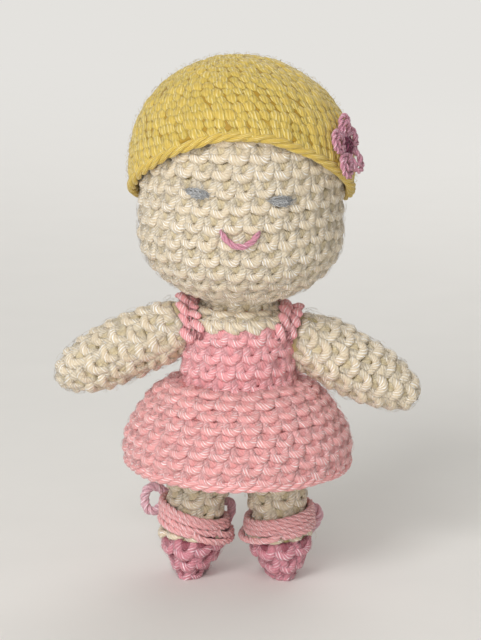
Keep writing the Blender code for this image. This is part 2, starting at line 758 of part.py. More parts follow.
def make_cap(material):
    """The cap, a shell that follows the crown down to its rim, with a ridge for each round of stitches."""
    outer = GAP + CAP_THICKNESS
    grooves = (outer - CAP_THICKNESS * GROOVE_SHARE, outer)
    bands = [(step / (2 * CAP_ROUNDS), grooves[step % 2]) for step in range(1, 2 * CAP_ROUNDS)]
    bands.append((1.0, outer))
    bands += [(step / CAP_LINING_ROWS, GAP) for step in range(CAP_LINING_ROWS, 0, -1)]
    rings = [[cap_point(*cap_place(0.0, 0.0), outer)]]
    for share, lift in bands:
        rings.append([
            cap_point(*cap_place(math.tau * i / HEAD_SIDES, share), lift) for i in range(HEAD_SIDES)
        ])
    rings.append([cap_point(*cap_place(0.0, 0.0), GAP)])
    return skinned("cap", rings, material)


def make_cap_edge(material):
    """The braid along the cap's rim, as a plain rope."""
    path = []
    for i in range(BRAID_POINTS):
        angle = math.tau * i / BRAID_POINTS
        run = down_from_crown(rim_height(angle)) - CAP_EDGE_RADIUS
        path.append(cap_point(angle, run, 2 * GAP + CAP_EDGE_RADIUS))
    return tube("cap_edge", path, CAP_EDGE_RADIUS, material, loop=True)


def make_eye(name, reach, rise, material):
    """A closed eye's stitches, a small pad on the face."""
    angle = math.asin(reach / HEAD_RADIUS)
    mesh = bmesh.new()
    bmesh.ops.create_uvsphere(mesh, u_segments=EYE_SIDES, v_segments=EYE_SIDES // 2, radius=1.0)
    bmesh.ops.scale(mesh, vec=(EYE_HALF_WIDTH, EYE_HALF_DEPTH, EYE_HALF_HEIGHT), verts=mesh.verts)
    data = bpy.data.meshes.new(name)
    mesh.to_mesh(data)
    mesh.free()
    data.materials.append(material)
    data.shade_smooth()
    piece = bpy.data.objects.new(name, data)
    bpy.context.scene.collection.objects.link(piece)
    centre = on_head(angle, CHEEK_HEIGHT + rise, GAP + EYE_HALF_DEPTH)
    data.transform(Matrix.Translation(centre) @ Matrix.Rotation(angle, 4, "Z"))
    return piece


def make_mouth(material):
    """The smile, one strand that sags between its ends on the face."""
    path = []
    for i in range(2 * ARC_STEPS + 1):
        share = i / ARC_STEPS - 1
        angle = math.asin(share * MOUTH_HALF_WIDTH / HEAD_RADIUS)
        height = CHEEK_HEIGHT + MOUTH_RISE + MOUTH_CURL * share * share
        path.append(on_head(angle, height, GAP + MOUTH_RADIUS))
    return tube("mouth", path, MOUTH_RADIUS, material)


def make_flower(material):
    """The hair flower, a lobed disc of looped yarn that stands on the side of the cap."""
    sides = FLOWER_SIDES
    rings = [[Vector((0, 0, FLOWER_THICKNESS * FLOWER_SHARES[0][1]))]]
    for radius, rise, petal in FLOWER_SHARES:
        ring = []
        for i in range(sides):
            angle = math.tau * i / sides
            lobe = 1 - PETAL_DEPTH_SHARE * petal * (1 - abs(math.cos(FLOWER_PETALS * angle / 2)))
            reach = FLOWER_RADIUS * radius * lobe
            ring.append(Vector((reach * math.cos(angle), reach * math.sin(angle), FLOWER_THICKNESS * rise)))
        rings.append(ring)
    rings.append([Vector()])
    piece = skinned("hair_flower", rings, material)
    height = CROWN_HEIGHT + FLOWER_RISE
    centre = on_head(FLOWER_ANGLE, height, 2 * GAP + CAP_THICKNESS)
    foot = on_head(FLOWER_ANGLE, height, 0)
    turn = Vector((0, 0, 1)).rotation_difference(centre - foot).to_matrix().to_4x4()
    piece.data.transform(Matrix.Translation(centre) @ turn)
    return piece


def main():
    """Makes the whole doll."""
    clear_scene()
    cream = yarn_finish("cream_yarn", CREAM)
    pink = yarn_finish("pink_yarn", PINK)
    rose = yarn_finish("rose_yarn", ROSE)
    yellow = yarn_finish("yellow_yarn", YELLOW)
    mauve = yarn_finish("mauve_yarn", MAUVE)
    dusty = yarn_finish("dusty_pink_yarn", DUSTY_PINK)
    blue = yarn_finish("blue_grey_yarn", BLUE_GREY)
    white = yarn_finish("stuffing", WHITE)
    thread = yarn_finish("sewing_thread", CREAM)
    make_torso(cream, pink, white)
    make_arm(1, "left_arm", LEFT_ARM_DROOP, cream, white, thread)
    make_arm(-1, "right_arm", RIGHT_ARM_DROOP, cream, white, thread)
    finishes = (cream, rose, pink, dusty, white, thread)
    make_leg(1, "left_leg", LEFT_RIBBON_TURNS, LEFT_BOW_TILT, finishes)
    make_leg(-1, "right_leg", RIGHT_RIBBON_TURNS, RIGHT_BOW_TILT, finishes)
    make_head(cream, white, yellow, mauve, blue, thread)


main()
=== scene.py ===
"""A crocheted ballerina doll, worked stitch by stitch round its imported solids.

The doll faces -Y and its left side is at +X. Sizes are in metres. Every crocheted part is a form, a
surface that takes an angle from the front and a run, the length up from its lower end. A stitch is laid
on a form as a few strands of yarn, and all the strands of a part are worked out together as arrays.
"""

import logging
import math
from dataclasses import dataclass, field
from enum import Enum, IntEnum

import bpy
import numpy as np
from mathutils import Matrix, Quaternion, Vector


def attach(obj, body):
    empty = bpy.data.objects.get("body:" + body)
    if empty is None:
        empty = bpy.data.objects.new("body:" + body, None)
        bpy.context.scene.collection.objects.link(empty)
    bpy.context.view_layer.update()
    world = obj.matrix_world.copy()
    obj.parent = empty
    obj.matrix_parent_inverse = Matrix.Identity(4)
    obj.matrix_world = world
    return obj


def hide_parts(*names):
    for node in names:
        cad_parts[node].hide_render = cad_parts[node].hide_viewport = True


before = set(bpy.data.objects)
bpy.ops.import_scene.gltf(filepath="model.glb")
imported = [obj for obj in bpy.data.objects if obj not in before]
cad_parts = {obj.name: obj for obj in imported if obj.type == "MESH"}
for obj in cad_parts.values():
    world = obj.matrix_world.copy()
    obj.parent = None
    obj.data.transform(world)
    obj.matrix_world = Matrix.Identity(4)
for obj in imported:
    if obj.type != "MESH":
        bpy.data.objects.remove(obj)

Array = np.ndarray
Colour = tuple[float, float, float]
Point = tuple[float, float, float]
Screen = tuple[int, int, int]
TAU = math.tau
BACK = math.pi
MM = 0.001
log = logging.getLogger("doll")

# The joints' centres and the seams between pieces, as in the solids.
HIP = 0.037
NECK = 0.070
SHOULDER = 0.0602
SHOULDER_REACH = 0.0157
SHOULDER_TILT = 0.0012
ARM_BALL = 0.0073
GAP = 0.0003

# How high a row of stitches is, how thick a stray fibre, how close an outline's points, and how much
# fuller than a bare round a ply is.
ROW = 0.0042
FIBRE = 0.00006
FINE = 0.0003
PLUMP = 1.12


class Side(IntEnum):
    """A side of the doll, whose value is the sign of its X."""

    LEFT = 1
    RIGHT = -1

    def named(self, piece: str) -> str:
        """The name of a piece on this side."""
        return self.name.lower() + "_" + piece


def srgb(colour: Screen) -> Colour:
    """The linear colour of a screen colour, each channel from 0 to 255."""
    return tuple(((v / 255 + 0.055) / 1.055) ** 2.4 if v > 10 else v / 3294 for v in colour)


def dimmed(colour: Colour, share: float) -> Colour:
    """A colour brought down to a share of its light."""
    return tuple(v * share for v in colour)


def running(steps: Array) -> Array:
    """The total before each step, and after the last."""
    return np.concatenate([[0], np.cumsum(steps)])


def unit(vectors: Array) -> Array:
    """Each vector over its own length."""
    return vectors / np.maximum(np.linalg.norm(vectors, axis=-1, keepdims=True), 1e-12)


def eased(values: Array, low: float, high: float) -> Array:
    """3 t^2 - 2 t^3 of the share t of the way from low to high."""
    t = np.clip((values - low) / (high - low), 0, 1)
    return t * t * (3 - 2 * t)


class Sock:
    """A number socket whose arithmetic adds Math nodes."""

    def __init__(self, painter: "Painter", socket: bpy.types.NodeSocket) -> None:
        """Wraps a socket of the painter's material."""
        self.painter = painter
        self.socket = socket

    def math(self, operation: str, first: object, second: object = 0.0) -> "Sock":
        """A Math node on two values."""
        return self.painter.add("ShaderNodeMath", {"operation": operation}, {0: first, 1: second})

    def __add__(self, other: object) -> "Sock":
        """Sum."""
        return self.math("ADD", self, other)

    def __radd__(self, other: object) -> "Sock":
        """Sum, from the right."""
        return self.math("ADD", other, self)

    def __sub__(self, other: object) -> "Sock":
        """Difference."""
        return self.math("SUBTRACT", self, other)

    def __rsub__(self, other: object) -> "Sock":
        """Difference, from the right."""
        return self.math("SUBTRACT", other, self)

    def __mul__(self, other: object) -> "Sock":
        """Product."""
        return self.math("MULTIPLY", self, other)

    def __rmul__(self, other: object) -> "Sock":
        """Product, from the right."""
        return self.math("MULTIPLY", other, self)

    def crest(self) -> "Sock":
        """The size of the sine of pi times the value: 0 at whole numbers, 1 between them."""
        return self.math("ABSOLUTE", self.math("SINE", self * math.pi))

    def ease(self, low: float, high: float) -> "Sock":
        """A smooth step from 0 at low to 1 at high."""
        return self.painter.add(
            "ShaderNodeMapRange", {"interpolation_type": "SMOOTHSTEP"}, {0: self, 1: low, 2: high}
        )


class Painter:
    """The nodes of a material, or of the world, in the making."""

    def __init__(self, owner: bpy.types.Material | bpy.types.World) -> None:
        """Starts from the shader that a new material or world has."""
        owner.use_nodes = True
        self.tree = owner.node_tree
        self.shader = self.tree.nodes.get("Principled BSDF") or self.tree.nodes["Background"]

    def add(self, kind: str, settings: dict, inputs: dict, output: int | str = 0) -> Sock:
        """Adds a node.

        Args:
            kind: the node's type.
            settings: its properties, set first.
            inputs: a value or a Sock for each named or numbered input.
            output: the output to hand back.

        Returns:
            That output.
        """
        node = self.tree.nodes.new(kind)
        for key, value in settings.items():
            setattr(node, key, value)
        for key, value in inputs.items():
            self.feed(node.inputs[key], value)
        return Sock(self, node.outputs[output])

    def feed(self, socket: bpy.types.NodeSocket, value: object) -> None:
        """Links a Sock to an input, or sets its value."""
        if isinstance(value, Sock):
            self.tree.links.new(value.socket, socket)
        elif isinstance(value, tuple) and len(value) == 3 and socket.type == "RGBA":
            socket.default_value = (*value, 1.0)
        else:
            socket.default_value = value

    def mix(self, first: object, second: object, factor: object) -> Sock:
        """The first colour turning into the second as factor goes from 0 to 1."""
        return self.add("ShaderNodeMix", {"data_type": "RGBA"}, {0: factor, 6: first, 7: second}, 2)

    def noise(self, vector: Sock, scale: float, detail: float = 2.0, roughness: float = 0.5) -> Sock:
        """Smooth noise round 0.5."""
        return self.add(
            "ShaderNodeTexNoise", {},
            {"Vector": vector, "Scale": scale, "Detail": detail, "Roughness": roughness}, "Fac",
        )

    def joined(self, x: object, y: object, z: object) -> Sock:
        """A vector of three numbers."""
        return self.add("ShaderNodeCombineXYZ", {}, {0: x, 1: y, 2: z})

    def place(self) -> Sock:
        """Object coordinates."""
        return self.add("ShaderNodeTexCoord", {}, {}, "Object")

    def dress(self, height: Sock | None = None, depth: float = 0.0002, **channels: object) -> None:
        """Feeds the shader's sockets by name, with underscores for spaces, and a bump of a height."""
        for key, value in channels.items():
            self.feed(self.shader.inputs[key.replace("_", " ")], value)
        if height is not None:
            bump = self.add("ShaderNodeBump", {}, {"Strength": 1.0, "Distance": depth, "Height": height})
            self.feed(self.shader.inputs["Normal"], bump)


@dataclass(frozen=True)
class Finish:
    """A material, and the colour slot of the pieces that wear it."""

    name: str
    slot: str

    def paint(self, p: Painter) -> None:
        """Lays the material's nodes."""
        raise NotImplementedError

    def material(self) -> bpy.types.Material:
        """The node material, made once."""
        found = bpy.data.materials.get(self.name)
        if found is None:
            found = bpy.data.materials.new(self.name)
            self.paint(Painter(found))
        return found


@dataclass(frozen=True)
class Yarn(Finish):
    """Plied yarn: painted highlights on strokes of ply across each strand, painted shade in the grooves
    between the plies, and a darker painted shade down between the stitches.

    The ply's crest is |sin(pi (10 along / lead - plies * round))|, where round is the share round the
    strand and along the length on it, and fibres are noise that is stretched along the ply. Between the
    two depths of clear the painted shade of the pockets turns into the base's tone.
    """

    # The base is the yarn's own tone; the second colour is a painted shade for the pockets between the
    # stitches, and the third a painted highlight on the plies.
    base: Screen
    pocket_shade: Screen
    glint: Screen
    plies: int = 6
    lead: float = 0.78
    roughness: float = 0.6
    sheen: float = 0.2
    # The next field darkens the grooves between the plies with painted shade; shine scales the painted
    # highlights.
    groove_shade: float = 0.16
    shine: float = 1.0
    clear: tuple[float, float] = (0.0, 0.6)

    def paint(self, p: Painter) -> None:
        """Lays the material's nodes."""
        base, pocket_shade, glint = (srgb(colour) for colour in (self.base, self.pocket_shade, self.glint))
        strand = p.add("ShaderNodeUVMap", {"uv_map": "strand"}, {})
        along = p.add("ShaderNodeSeparateXYZ", {}, {0: strand}, "X")
        round_share = p.add("ShaderNodeSeparateXYZ", {}, {0: strand}, "Y")
        depth = p.add("ShaderNodeAttribute", {"attribute_name": "depth"}, {}, "Fac")
        broad = p.noise(p.place(), 260.0)
        phase = along * (10.0 / self.lead) - round_share * float(self.plies) + broad * 0.8
        crest = phase.crest()
        fibre = p.noise(p.joined(phase * 2.2, along * 5.0, broad), 1.0, 3.0, 0.6)
        hair = p.noise(p.joined(phase * 9.0, along * 14.0, 0.0), 1.0, 2.0, 0.6)
        patch = p.noise(p.place(), 90.0, 1.0)
        # Painted shade: low depth takes the tone from the pockets' painted shade up to the base.
        tone = p.mix(pocket_shade, base, depth.ease(*self.clear))
        # Painted shade in the grooves between the plies.
        tone = p.mix(tone, dimmed(pocket_shade, 0.8), (1.0 - crest.ease(0.0, 0.6)) * self.groove_shade)
        tone = p.mix(tone, dimmed(base, 0.86), patch.ease(0.45, 0.75) * 0.5)
        # Painted highlights: narrow glints on the ply crests and on fibres, strongest on the strands' tops.
        lit = crest.ease(0.72, 1.0) * fibre.ease(0.44, 0.60) * depth.ease(0.55, 0.95)
        tone = p.mix(tone, glint, (lit * 0.9 + hair.ease(0.55, 0.8) * depth * 0.2) * self.shine)
        p.dress(
            height=crest * 0.5 + fibre * 0.4 + hair * 0.3,
            Base_Color=tone,
            Roughness=self.roughness + (1.0 - crest) * 0.15 + (hair - 0.5) * 0.1,
            Sheen_Weight=self.sheen,
            Sheen_Roughness=0.4,
            Specular_IOR_Level=0.35,
            Subsurface_Weight=0.4,
            Subsurface_Radius=(1.0, 0.95, 0.85),
            Subsurface_Scale=0.0008,
        )


@dataclass(frozen=True)
class Filling(Finish):
    """Matt fibre filling, which shows only deep between the stitches, coloured in the painted shade of the
    pockets of the yarn over it.
    """

    colour: Screen

    def paint(self, p: Painter) -> None:
        """Lays the material's nodes."""
        colour = srgb(self.colour)
        clump = p.noise(p.place(), 500.0, 4.0, 0.6)
        strands = p.noise(p.place(), 2200.0, 2.0, 0.7)
        p.dress(
            height=clump + strands * 0.4,
            depth=0.0004,
            Base_Color=p.mix(dimmed(colour, 0.6), colour, clump.ease(0.3, 0.7)),
            Roughness=0.85 + strands * 0.1,
            Sheen_Weight=0.2,
        )


CREAM = Yarn(
    "cream_yarn_worked", "cream_yarn", (222, 206, 180), (182, 166, 112), (255, 253, 250),
    clear=(0.12, 0.7),
)
YELLOW = Yarn(
    "yellow_yarn_worked", "yellow_yarn", (214, 184, 88), (170, 132, 38), (252, 238, 184), 9, 1.3,
    shine=0.7,
)
PINK = Yarn("pink_yarn_worked", "pink_yarn", (236, 169, 168), (212, 134, 133), (255, 240, 240))
BODICE = Yarn("bodice_yarn_worked", "pink_yarn", (236, 164, 168), (200, 112, 117), (255, 238, 240))
ROSE = Yarn(
    "rose_yarn_worked", "rose_yarn", (210, 138, 150), (128, 52, 68), (255, 232, 238), clear=(0.32, 0.84)
)
RIBBON = Yarn("ribbon_yarn", "pink_yarn", (236, 172, 172), (200, 118, 118), (255, 234, 236), 4, 2.0)
BOW = Yarn("bow_yarn", "dusty_pink_yarn", (226, 180, 190), (180, 122, 136), (252, 232, 238), 4, 2.6)
MAUVE = Yarn("mauve_yarn_twisted", "mauve_yarn", (206, 142, 160), (132, 68, 94), (250, 220, 232), 4, 2.0)
# The flower's heart: dark yarn that stands for the shade in the flower's hollow middle, a painted shade.
HEART_SHADE = Yarn("plum_heart", "mauve_yarn", (96, 34, 60), (60, 16, 36), (140, 70, 96), 3, 5.0)
SLATE = Yarn("slate_thread", "blue_grey_yarn", (188, 188, 188), (104, 108, 112), (250, 250, 250), 3, 1.6)
SEWING = Yarn("sewing_yarn", "sewing_thread", (214, 200, 166), (164, 148, 104), (248, 240, 220))
# The fillings are coloured like the painted shade of the pockets in the yarn over them.
FILL = Filling("fibre_filling", "stuffing", (196, 180, 140))
PINK_FILL = Filling("fibre_filling_under_pink", "stuffing", (190, 112, 110))


def even(points: Array, spacing: float) -> Array:
    """The points of a path moved to an even spacing along it."""
    at = running(np.linalg.norm(np.diff(points, axis=0), axis=1))
    count = max(4, int(round(at[-1] / spacing)) + 1)
    want = np.linspace(0, at[-1], count)
    return np.stack([np.interp(want, at, points[:, i]) for i in range(points.shape[1])], axis=1)


def spline(points: Array, spacing: float, closed: bool = False) -> Array:
    """A smooth path through points.

    Between two points it is the cubic that passes through both, with each end's slope half the step
    between the neighbours on either side.

    Args:
        points: K rows of coordinates.
        spacing: the distance between the points that come back.
        closed: whether the last joins the first.

    Returns:
        Evenly spaced points; a closed path doesn't repeat its first.
    """
    p = np.asarray(points, float)
    if closed:
        p = np.concatenate([p[-1:], p, p[:2]])
    else:
        p = np.concatenate([2 * p[:1] - p[1:2], p, 2 * p[-1:] - p[-2:-1]])
    t = np.linspace(0, 1, 16, endpoint=False)[None, :, None]
    a, b, c, d = (p[i:len(p) - 3 + i, None, :] for i in range(4))
    square, cube = 2 * a - 5 * b + 4 * c - d, 3 * b - a - 3 * c + d
    dense = 0.5 * (2 * b + (c - a) * t + square * t**2 + cube * t**3)
    dense = np.concatenate([dense.reshape(-1, p.shape[1]), p[-2:-1]])
    path = even(dense, spacing)
    return path[:-1] if closed else path


@dataclass
class Form:
    """A surface that yarn is laid on, with a slight seeded unevenness, as stuffed crochet has."""

    lump: float = 0.00022
    seed: int = 1

    def measure(self, height: Array, radius: Array) -> None:
        """Measures the run along an outline of heights and radii, as the sum of its steps' lengths."""
        self.heights, self.radii = height, radius
        self.runs = running(np.hypot(np.diff(height), np.diff(radius)))
        self.length = float(self.runs[-1])

    def radius(self, run: Array) -> Array:
        """The radius at a run."""
        return np.interp(run, self.runs, self.radii)

    def run_at(self, height: Array) -> Array:
        """The run at a height, for an outline that only rises."""
        return np.interp(height, self.heights, self.runs)

    def base(self, angle: Array, run: Array) -> Array:
        """The point of the smooth surface at an angle and a run."""
        raise NotImplementedError

    def skin(self, angle: Array, run: Array, lift: Array) -> tuple[Array, Array]:
        """Points lifted off the surface, and the normals there.

        The normal is the cross product of the two slopes, each taken between points a little apart. The
        unevenness is the mean of four sine waves of the place, in metres, times lump.

        Args:
            angle: angles from the front.
            run: lengths up from the lower end.
            lift: distances off the surface.

        Returns:
            The points and the unit normals.
        """
        angle, run, lift = np.broadcast_arrays(angle, run, lift)
        turn = 0.004
        rise = 0.00006
        across = self.base(angle + turn, run) - self.base(angle - turn, run)
        up = self.base(angle, run + rise) - self.base(angle, run - rise)
        normal = unit(np.cross(across, up))
        at = self.base(angle, run)
        x, y, z = np.moveaxis(at, -1, 0)
        k = self.seed
        wave = (
            np.sin(x * 420 + 1.7 * k) + np.sin(z * 370 + 2.9 * k)
            + np.sin((x + y) * 610 + k) + np.sin((y - z) * 540 + 4.1 * k)
        ) / 4
        return at + normal * (lift + self.lump * wave)[..., None], normal


@dataclass
class TurnedForm(Form):
    """A form turned about an upright axis through an outline, then turned about Y and set in place."""

    outline: Array = None
    tilt: float = 0.0
    centre: Point = (0.0, 0.0, 0.0)
    press: float = 0.0
    press_from: float = 0.0
    lean: float = 0.0

    def __post_init__(self) -> None:
        """Measures the outline."""
        self.measure(self.outline[:, 1], self.outline[:, 0])

    def base(self, angle: Array, run: Array) -> Array:
        """(r sin a, -r cos a, z) from the outline, turned by the tilt about Y and moved to the centre.

        Above press_from the form is pressed down and leans sideways, both by the square of the share of
        the way to its top.
        """
        r = self.radius(run)
        z = np.interp(run, self.runs, self.heights)
        rest = max(float(self.heights[-1]) - self.press_from, MM)
        share = np.clip((z - self.press_from) / rest, 0, 1) ** 2
        x, y = r * np.sin(angle) - self.lean * share, -r * np.cos(angle)
        z = z - self.press * share
        c, s = math.cos(self.tilt), math.sin(self.tilt)
        return np.stack([x * c + z * s, y, z * c - x * s], -1) + np.array(self.centre)


@dataclass
class LegForm(Form):
    """A leg with its slipper, as rings that are wider than long, splay outwards and turn out at the toe."""

    side: int = 1
    table: Array = None
    hip: Point = (0.0, 0.0, 0.0)
    ankle: float = 0.014
    splay: float = 0.0022
    toe: float = 0.0004
    turnout: float = math.radians(12.0)

    def __post_init__(self) -> None:
        """Measures the table of height, half width and half length, by the mean of the last two."""
        self.measure(self.table[:, 0], (self.table[:, 1] + self.table[:, 2]) / 2)

    def middle(self, height: Array) -> Array:
        """The middle of the leg at a height."""
        turn = self.side * self.turnout
        drop = np.clip((self.hip[2] - height) / (self.hip[2] - self.ankle), 0, 1)
        below = np.clip(1 - height / self.ankle, 0, 1)
        x = self.hip[0] + self.side * self.splay * drop**2 + math.sin(turn) * self.toe * below
        return np.stack([x, self.hip[1] - math.cos(turn) * self.toe * below, height], -1)

    def base(self, angle: Array, run: Array) -> Array:
        """The middle at that height plus (w sin a, -l cos a), turned out by the turnout."""
        height, wide, long = (np.interp(run, self.runs, self.table[:, i]) for i in range(3))
        turn = self.side * self.turnout
        across, ahead = wide * np.sin(angle), -long * np.cos(angle)
        x = across * math.cos(turn) - ahead * math.sin(turn)
        y = across * math.sin(turn) + ahead * math.cos(turn)
        return self.middle(height) + np.stack([x, y, np.zeros_like(x)], -1)


def axes(path: Array, up: Array, closed: bool) -> tuple[Array, Array]:
    """The side and up of paths at each point: up made square to the path, and side square to both."""
    if closed:
        ahead = np.roll(path, -1, axis=-2) - np.roll(path, 1, axis=-2)
    else:
        ahead = np.gradient(path, axis=-2)
    ahead = unit(ahead)
    side = unit(np.cross(up, ahead))
    return side, np.cross(ahead, side)


def placed(name: str, data: bpy.types.ID) -> bpy.types.Object:
    """A new object in the scene."""
    thing = bpy.data.objects.new(name, data)
    bpy.context.scene.collection.objects.link(thing)
    return thing


@dataclass
class Weave:
    """Strands and walls gathered into one mesh, with yarn coordinates and how far out each point lies, which
    the yarn's material turns into painted shade and painted highlights.
    """

    points: list[Array] = field(default_factory=list)
    depths: list[Array] = field(default_factory=list)
    faces: list[Array] = field(default_factory=list)
    corners: list[Array] = field(default_factory=list)
    slots: list[Array] = field(default_factory=list)
    count: int = 0

    def strands(
        self, centres: Array, normals: Array, width: Array, height: Array, sides: int, depth: Array,
        phase: Array | float = 0.0, closed: bool = False, slot: int = 0, painted_top_light: float = 0.3,
    ) -> None:
        """Adds M strands of T rings each.

        A ring is centre + (w/2) cos f * side + (h/2) sin f * up, with the axes of the path.

        Args:
            centres: M by T points.
            normals: M by T directions away from the surface.
            width: each ring's width along the surface.
            height: each ring's height off it.
            sides: points in a ring.
            depth: 0 deep between the stitches to 1 on top; the material paints it as shade low and as
                highlights high.
            phase: where each strand's ply pattern starts.
            closed: whether a strand's last ring joins its first.
            slot: the material's number.
            painted_top_light: how much lighter the strand's painted tone is on top than at its sides, a
                painted top light.
        """
        m, t = centres.shape[:2]
        side, up = axes(centres, normals, closed)
        f = TAU * np.arange(sides) / sides
        width, height, depth = (np.broadcast_to(v, (m, t))[..., None] for v in (width, height, depth))
        ring = (
            centres[:, :, None] + side[:, :, None] * (width / 2 * np.cos(f))[..., None]
            + up[:, :, None] * (height / 2 * np.sin(f))[..., None]
        )
        step = np.linalg.norm(np.diff(centres, axis=1, append=centres[:, :1]), axis=2) * 100
        along = np.concatenate([np.zeros((m, 1)), np.cumsum(step, axis=1)], axis=1)
        along = along + np.broadcast_to(phase, (m,))[:, None]
        # Painted light: the top of each ring is painted lighter than its sides.
        self.tubes(ring, along, np.clip(depth + painted_top_light * np.sin(f), 0, 1), closed, slot)

    def tubes(self, ring: Array, along: Array, depth: Array, closed: bool = False, slot: int = 0) -> None:
        """Adds M tubes, each skinned over T rings.

        Args:
            ring: M by T by S points.
            along: M by T + 1 lengths along the yarn, in hundredths of a metre.
            depth: each point's depth.
            closed: whether a tube's last ring joins its first.
            slot: the material's number.
        """
        m, t, sides = ring.shape[:3]
        index = self.count + np.arange(m * t * sides).reshape(m, t, sides)
        low, high = (index, np.roll(index, -1, axis=1)) if closed else (index[:, :-1], index[:, 1:])
        rows = low.shape[1]
        quads = np.stack([low, np.roll(low, -1, axis=2), np.roll(high, -1, axis=2), high], -1)
        u0 = np.broadcast_to(along[:, :rows, None], low.shape)
        u1 = np.broadcast_to(along[:, 1:rows + 1, None], low.shape)
        v0 = np.broadcast_to(np.arange(sides) / sides, low.shape)
        v1 = v0 + 1 / sides
        corners = np.stack([u0, v0, u0, v1, u1, v1, u1, v0], -1)
        patches = [(quads.reshape(-1, 4), corners.reshape(-1, 4, 2))]
        if not closed:
            for cap, at in ((index[:, 0, ::-1], 0), (index[:, -1], t - 1)):
                u = np.broadcast_to(along[:, at, None], cap.shape)
                v = np.broadcast_to(np.arange(sides) / sides, cap.shape)
                patches.append((cap, np.stack([u, v], -1)))
        self.add(ring, depth, patches, slot)

    def add(self, points: Array, depth: Array | float, patches: list[tuple[Array, Array]], slot: int) -> None:
        """Adds points, and patches of faces that each have a yarn coordinate at each corner."""
        self.points.append(points.reshape(-1, 3))
        self.depths.append(np.broadcast_to(depth, points.shape[:-1]).reshape(-1))
        self.count += points.size // 3
        for faces, corners in patches:
            self.faces.append(faces)
            self.corners.append(corners)
            self.slots.append(np.full(len(faces), slot))

    def wall(
        self, form: Form, low: float, high: float, around: int, rows: int, outer: float = -0.0012,
        inner: float = -0.0020, rim: Array | None = None,
    ) -> None:
        """Adds a closed wall of fabric that follows a form, under its stitches, painted in the pockets'
        shade.

        Args:
            form: what it follows.
            low: the run it starts at.
            high: the run it ends at.
            around: faces round it.
            rows: faces up it.
            outer: the lift of its outer face.
            inner: the lift of its inner face.
            rim: the run it starts at for each angle, in place of low.
        """
        angle = TAU * np.arange(around) / around
        share = np.linspace(0, 1, rows + 1)[:, None]
        start = np.full(around, low) if rim is None else rim
        run = start + (high - start) * share
        out, _ = form.skin(angle, run, outer)
        ins, _ = form.skin(angle, run, inner)
        rings = np.concatenate([out, ins[::-1]])
        index = self.count + np.arange(len(rings) * around).reshape(-1, around)
        above = np.roll(index, -1, axis=0)
        quads = np.stack([index, np.roll(index, -1, axis=1), np.roll(above, -1, axis=1), above], -1)
        own = np.stack([index % around * 0.5, index // around * 0.9], -1).reshape(-1, 1, 2)
        # Depth 0.1 paints the wall almost wholly in the painted shade of the pockets.
        self.add(rings, 0.1, [(quads.reshape(-1, 4), np.repeat(own, 4, axis=1))], 0)

    def make(self, name: str, body: str, finishes: tuple[Finish, ...], *nodes: str) -> bpy.types.Object:
        """Makes the object, flat where it would reach under the floor.

        Args:
            name: its name.
            body: the CAD body it rides on.
            finishes: its finishes, by material number.
            nodes: the CAD nodes that it stands for.

        Returns:
            The object.
        """
        mesh = bpy.data.meshes.new(name)
        points = np.concatenate(self.points)
        points[:, 2] = np.maximum(points[:, 2], 0)
        loops = np.concatenate([f.reshape(-1) for f in self.faces])
        sizes = np.concatenate([np.full(len(f), f.shape[1]) for f in self.faces])
        starts = np.concatenate([[0], np.cumsum(sizes)[:-1]])
        mesh.vertices.add(len(points))
        mesh.vertices.foreach_set("co", points.astype(np.float32).ravel())
        mesh.loops.add(len(loops))
        mesh.loops.foreach_set("vertex_index", loops.astype(np.int32))
        mesh.polygons.add(len(starts))
        mesh.polygons.foreach_set("loop_start", starts.astype(np.int32))
        mesh.polygons.foreach_set("material_index", np.concatenate(self.slots).astype(np.int32))
        mesh.update(calc_edges=True)
        uv = mesh.uv_layers.new(name="strand")
        corners = np.concatenate([c.reshape(-1, 2) for c in self.corners])
        uv.data.foreach_set("uv", corners.astype(np.float32).ravel())
        # This attribute drives the yarn's painted shade and painted highlights.
        depth = mesh.attributes.new("depth", "FLOAT", "POINT")
        depth.data.foreach_set("value", np.concatenate(self.depths).astype(np.float32))
        mesh.shade_smooth()
        for finish in finishes:
            mesh.materials.append(finish.material())
        thing = placed(name, mesh)
        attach(thing, body)
        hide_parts(*nodes)
        log.info("%s: %d points, %d faces", name, len(points), len(starts))
        return thing


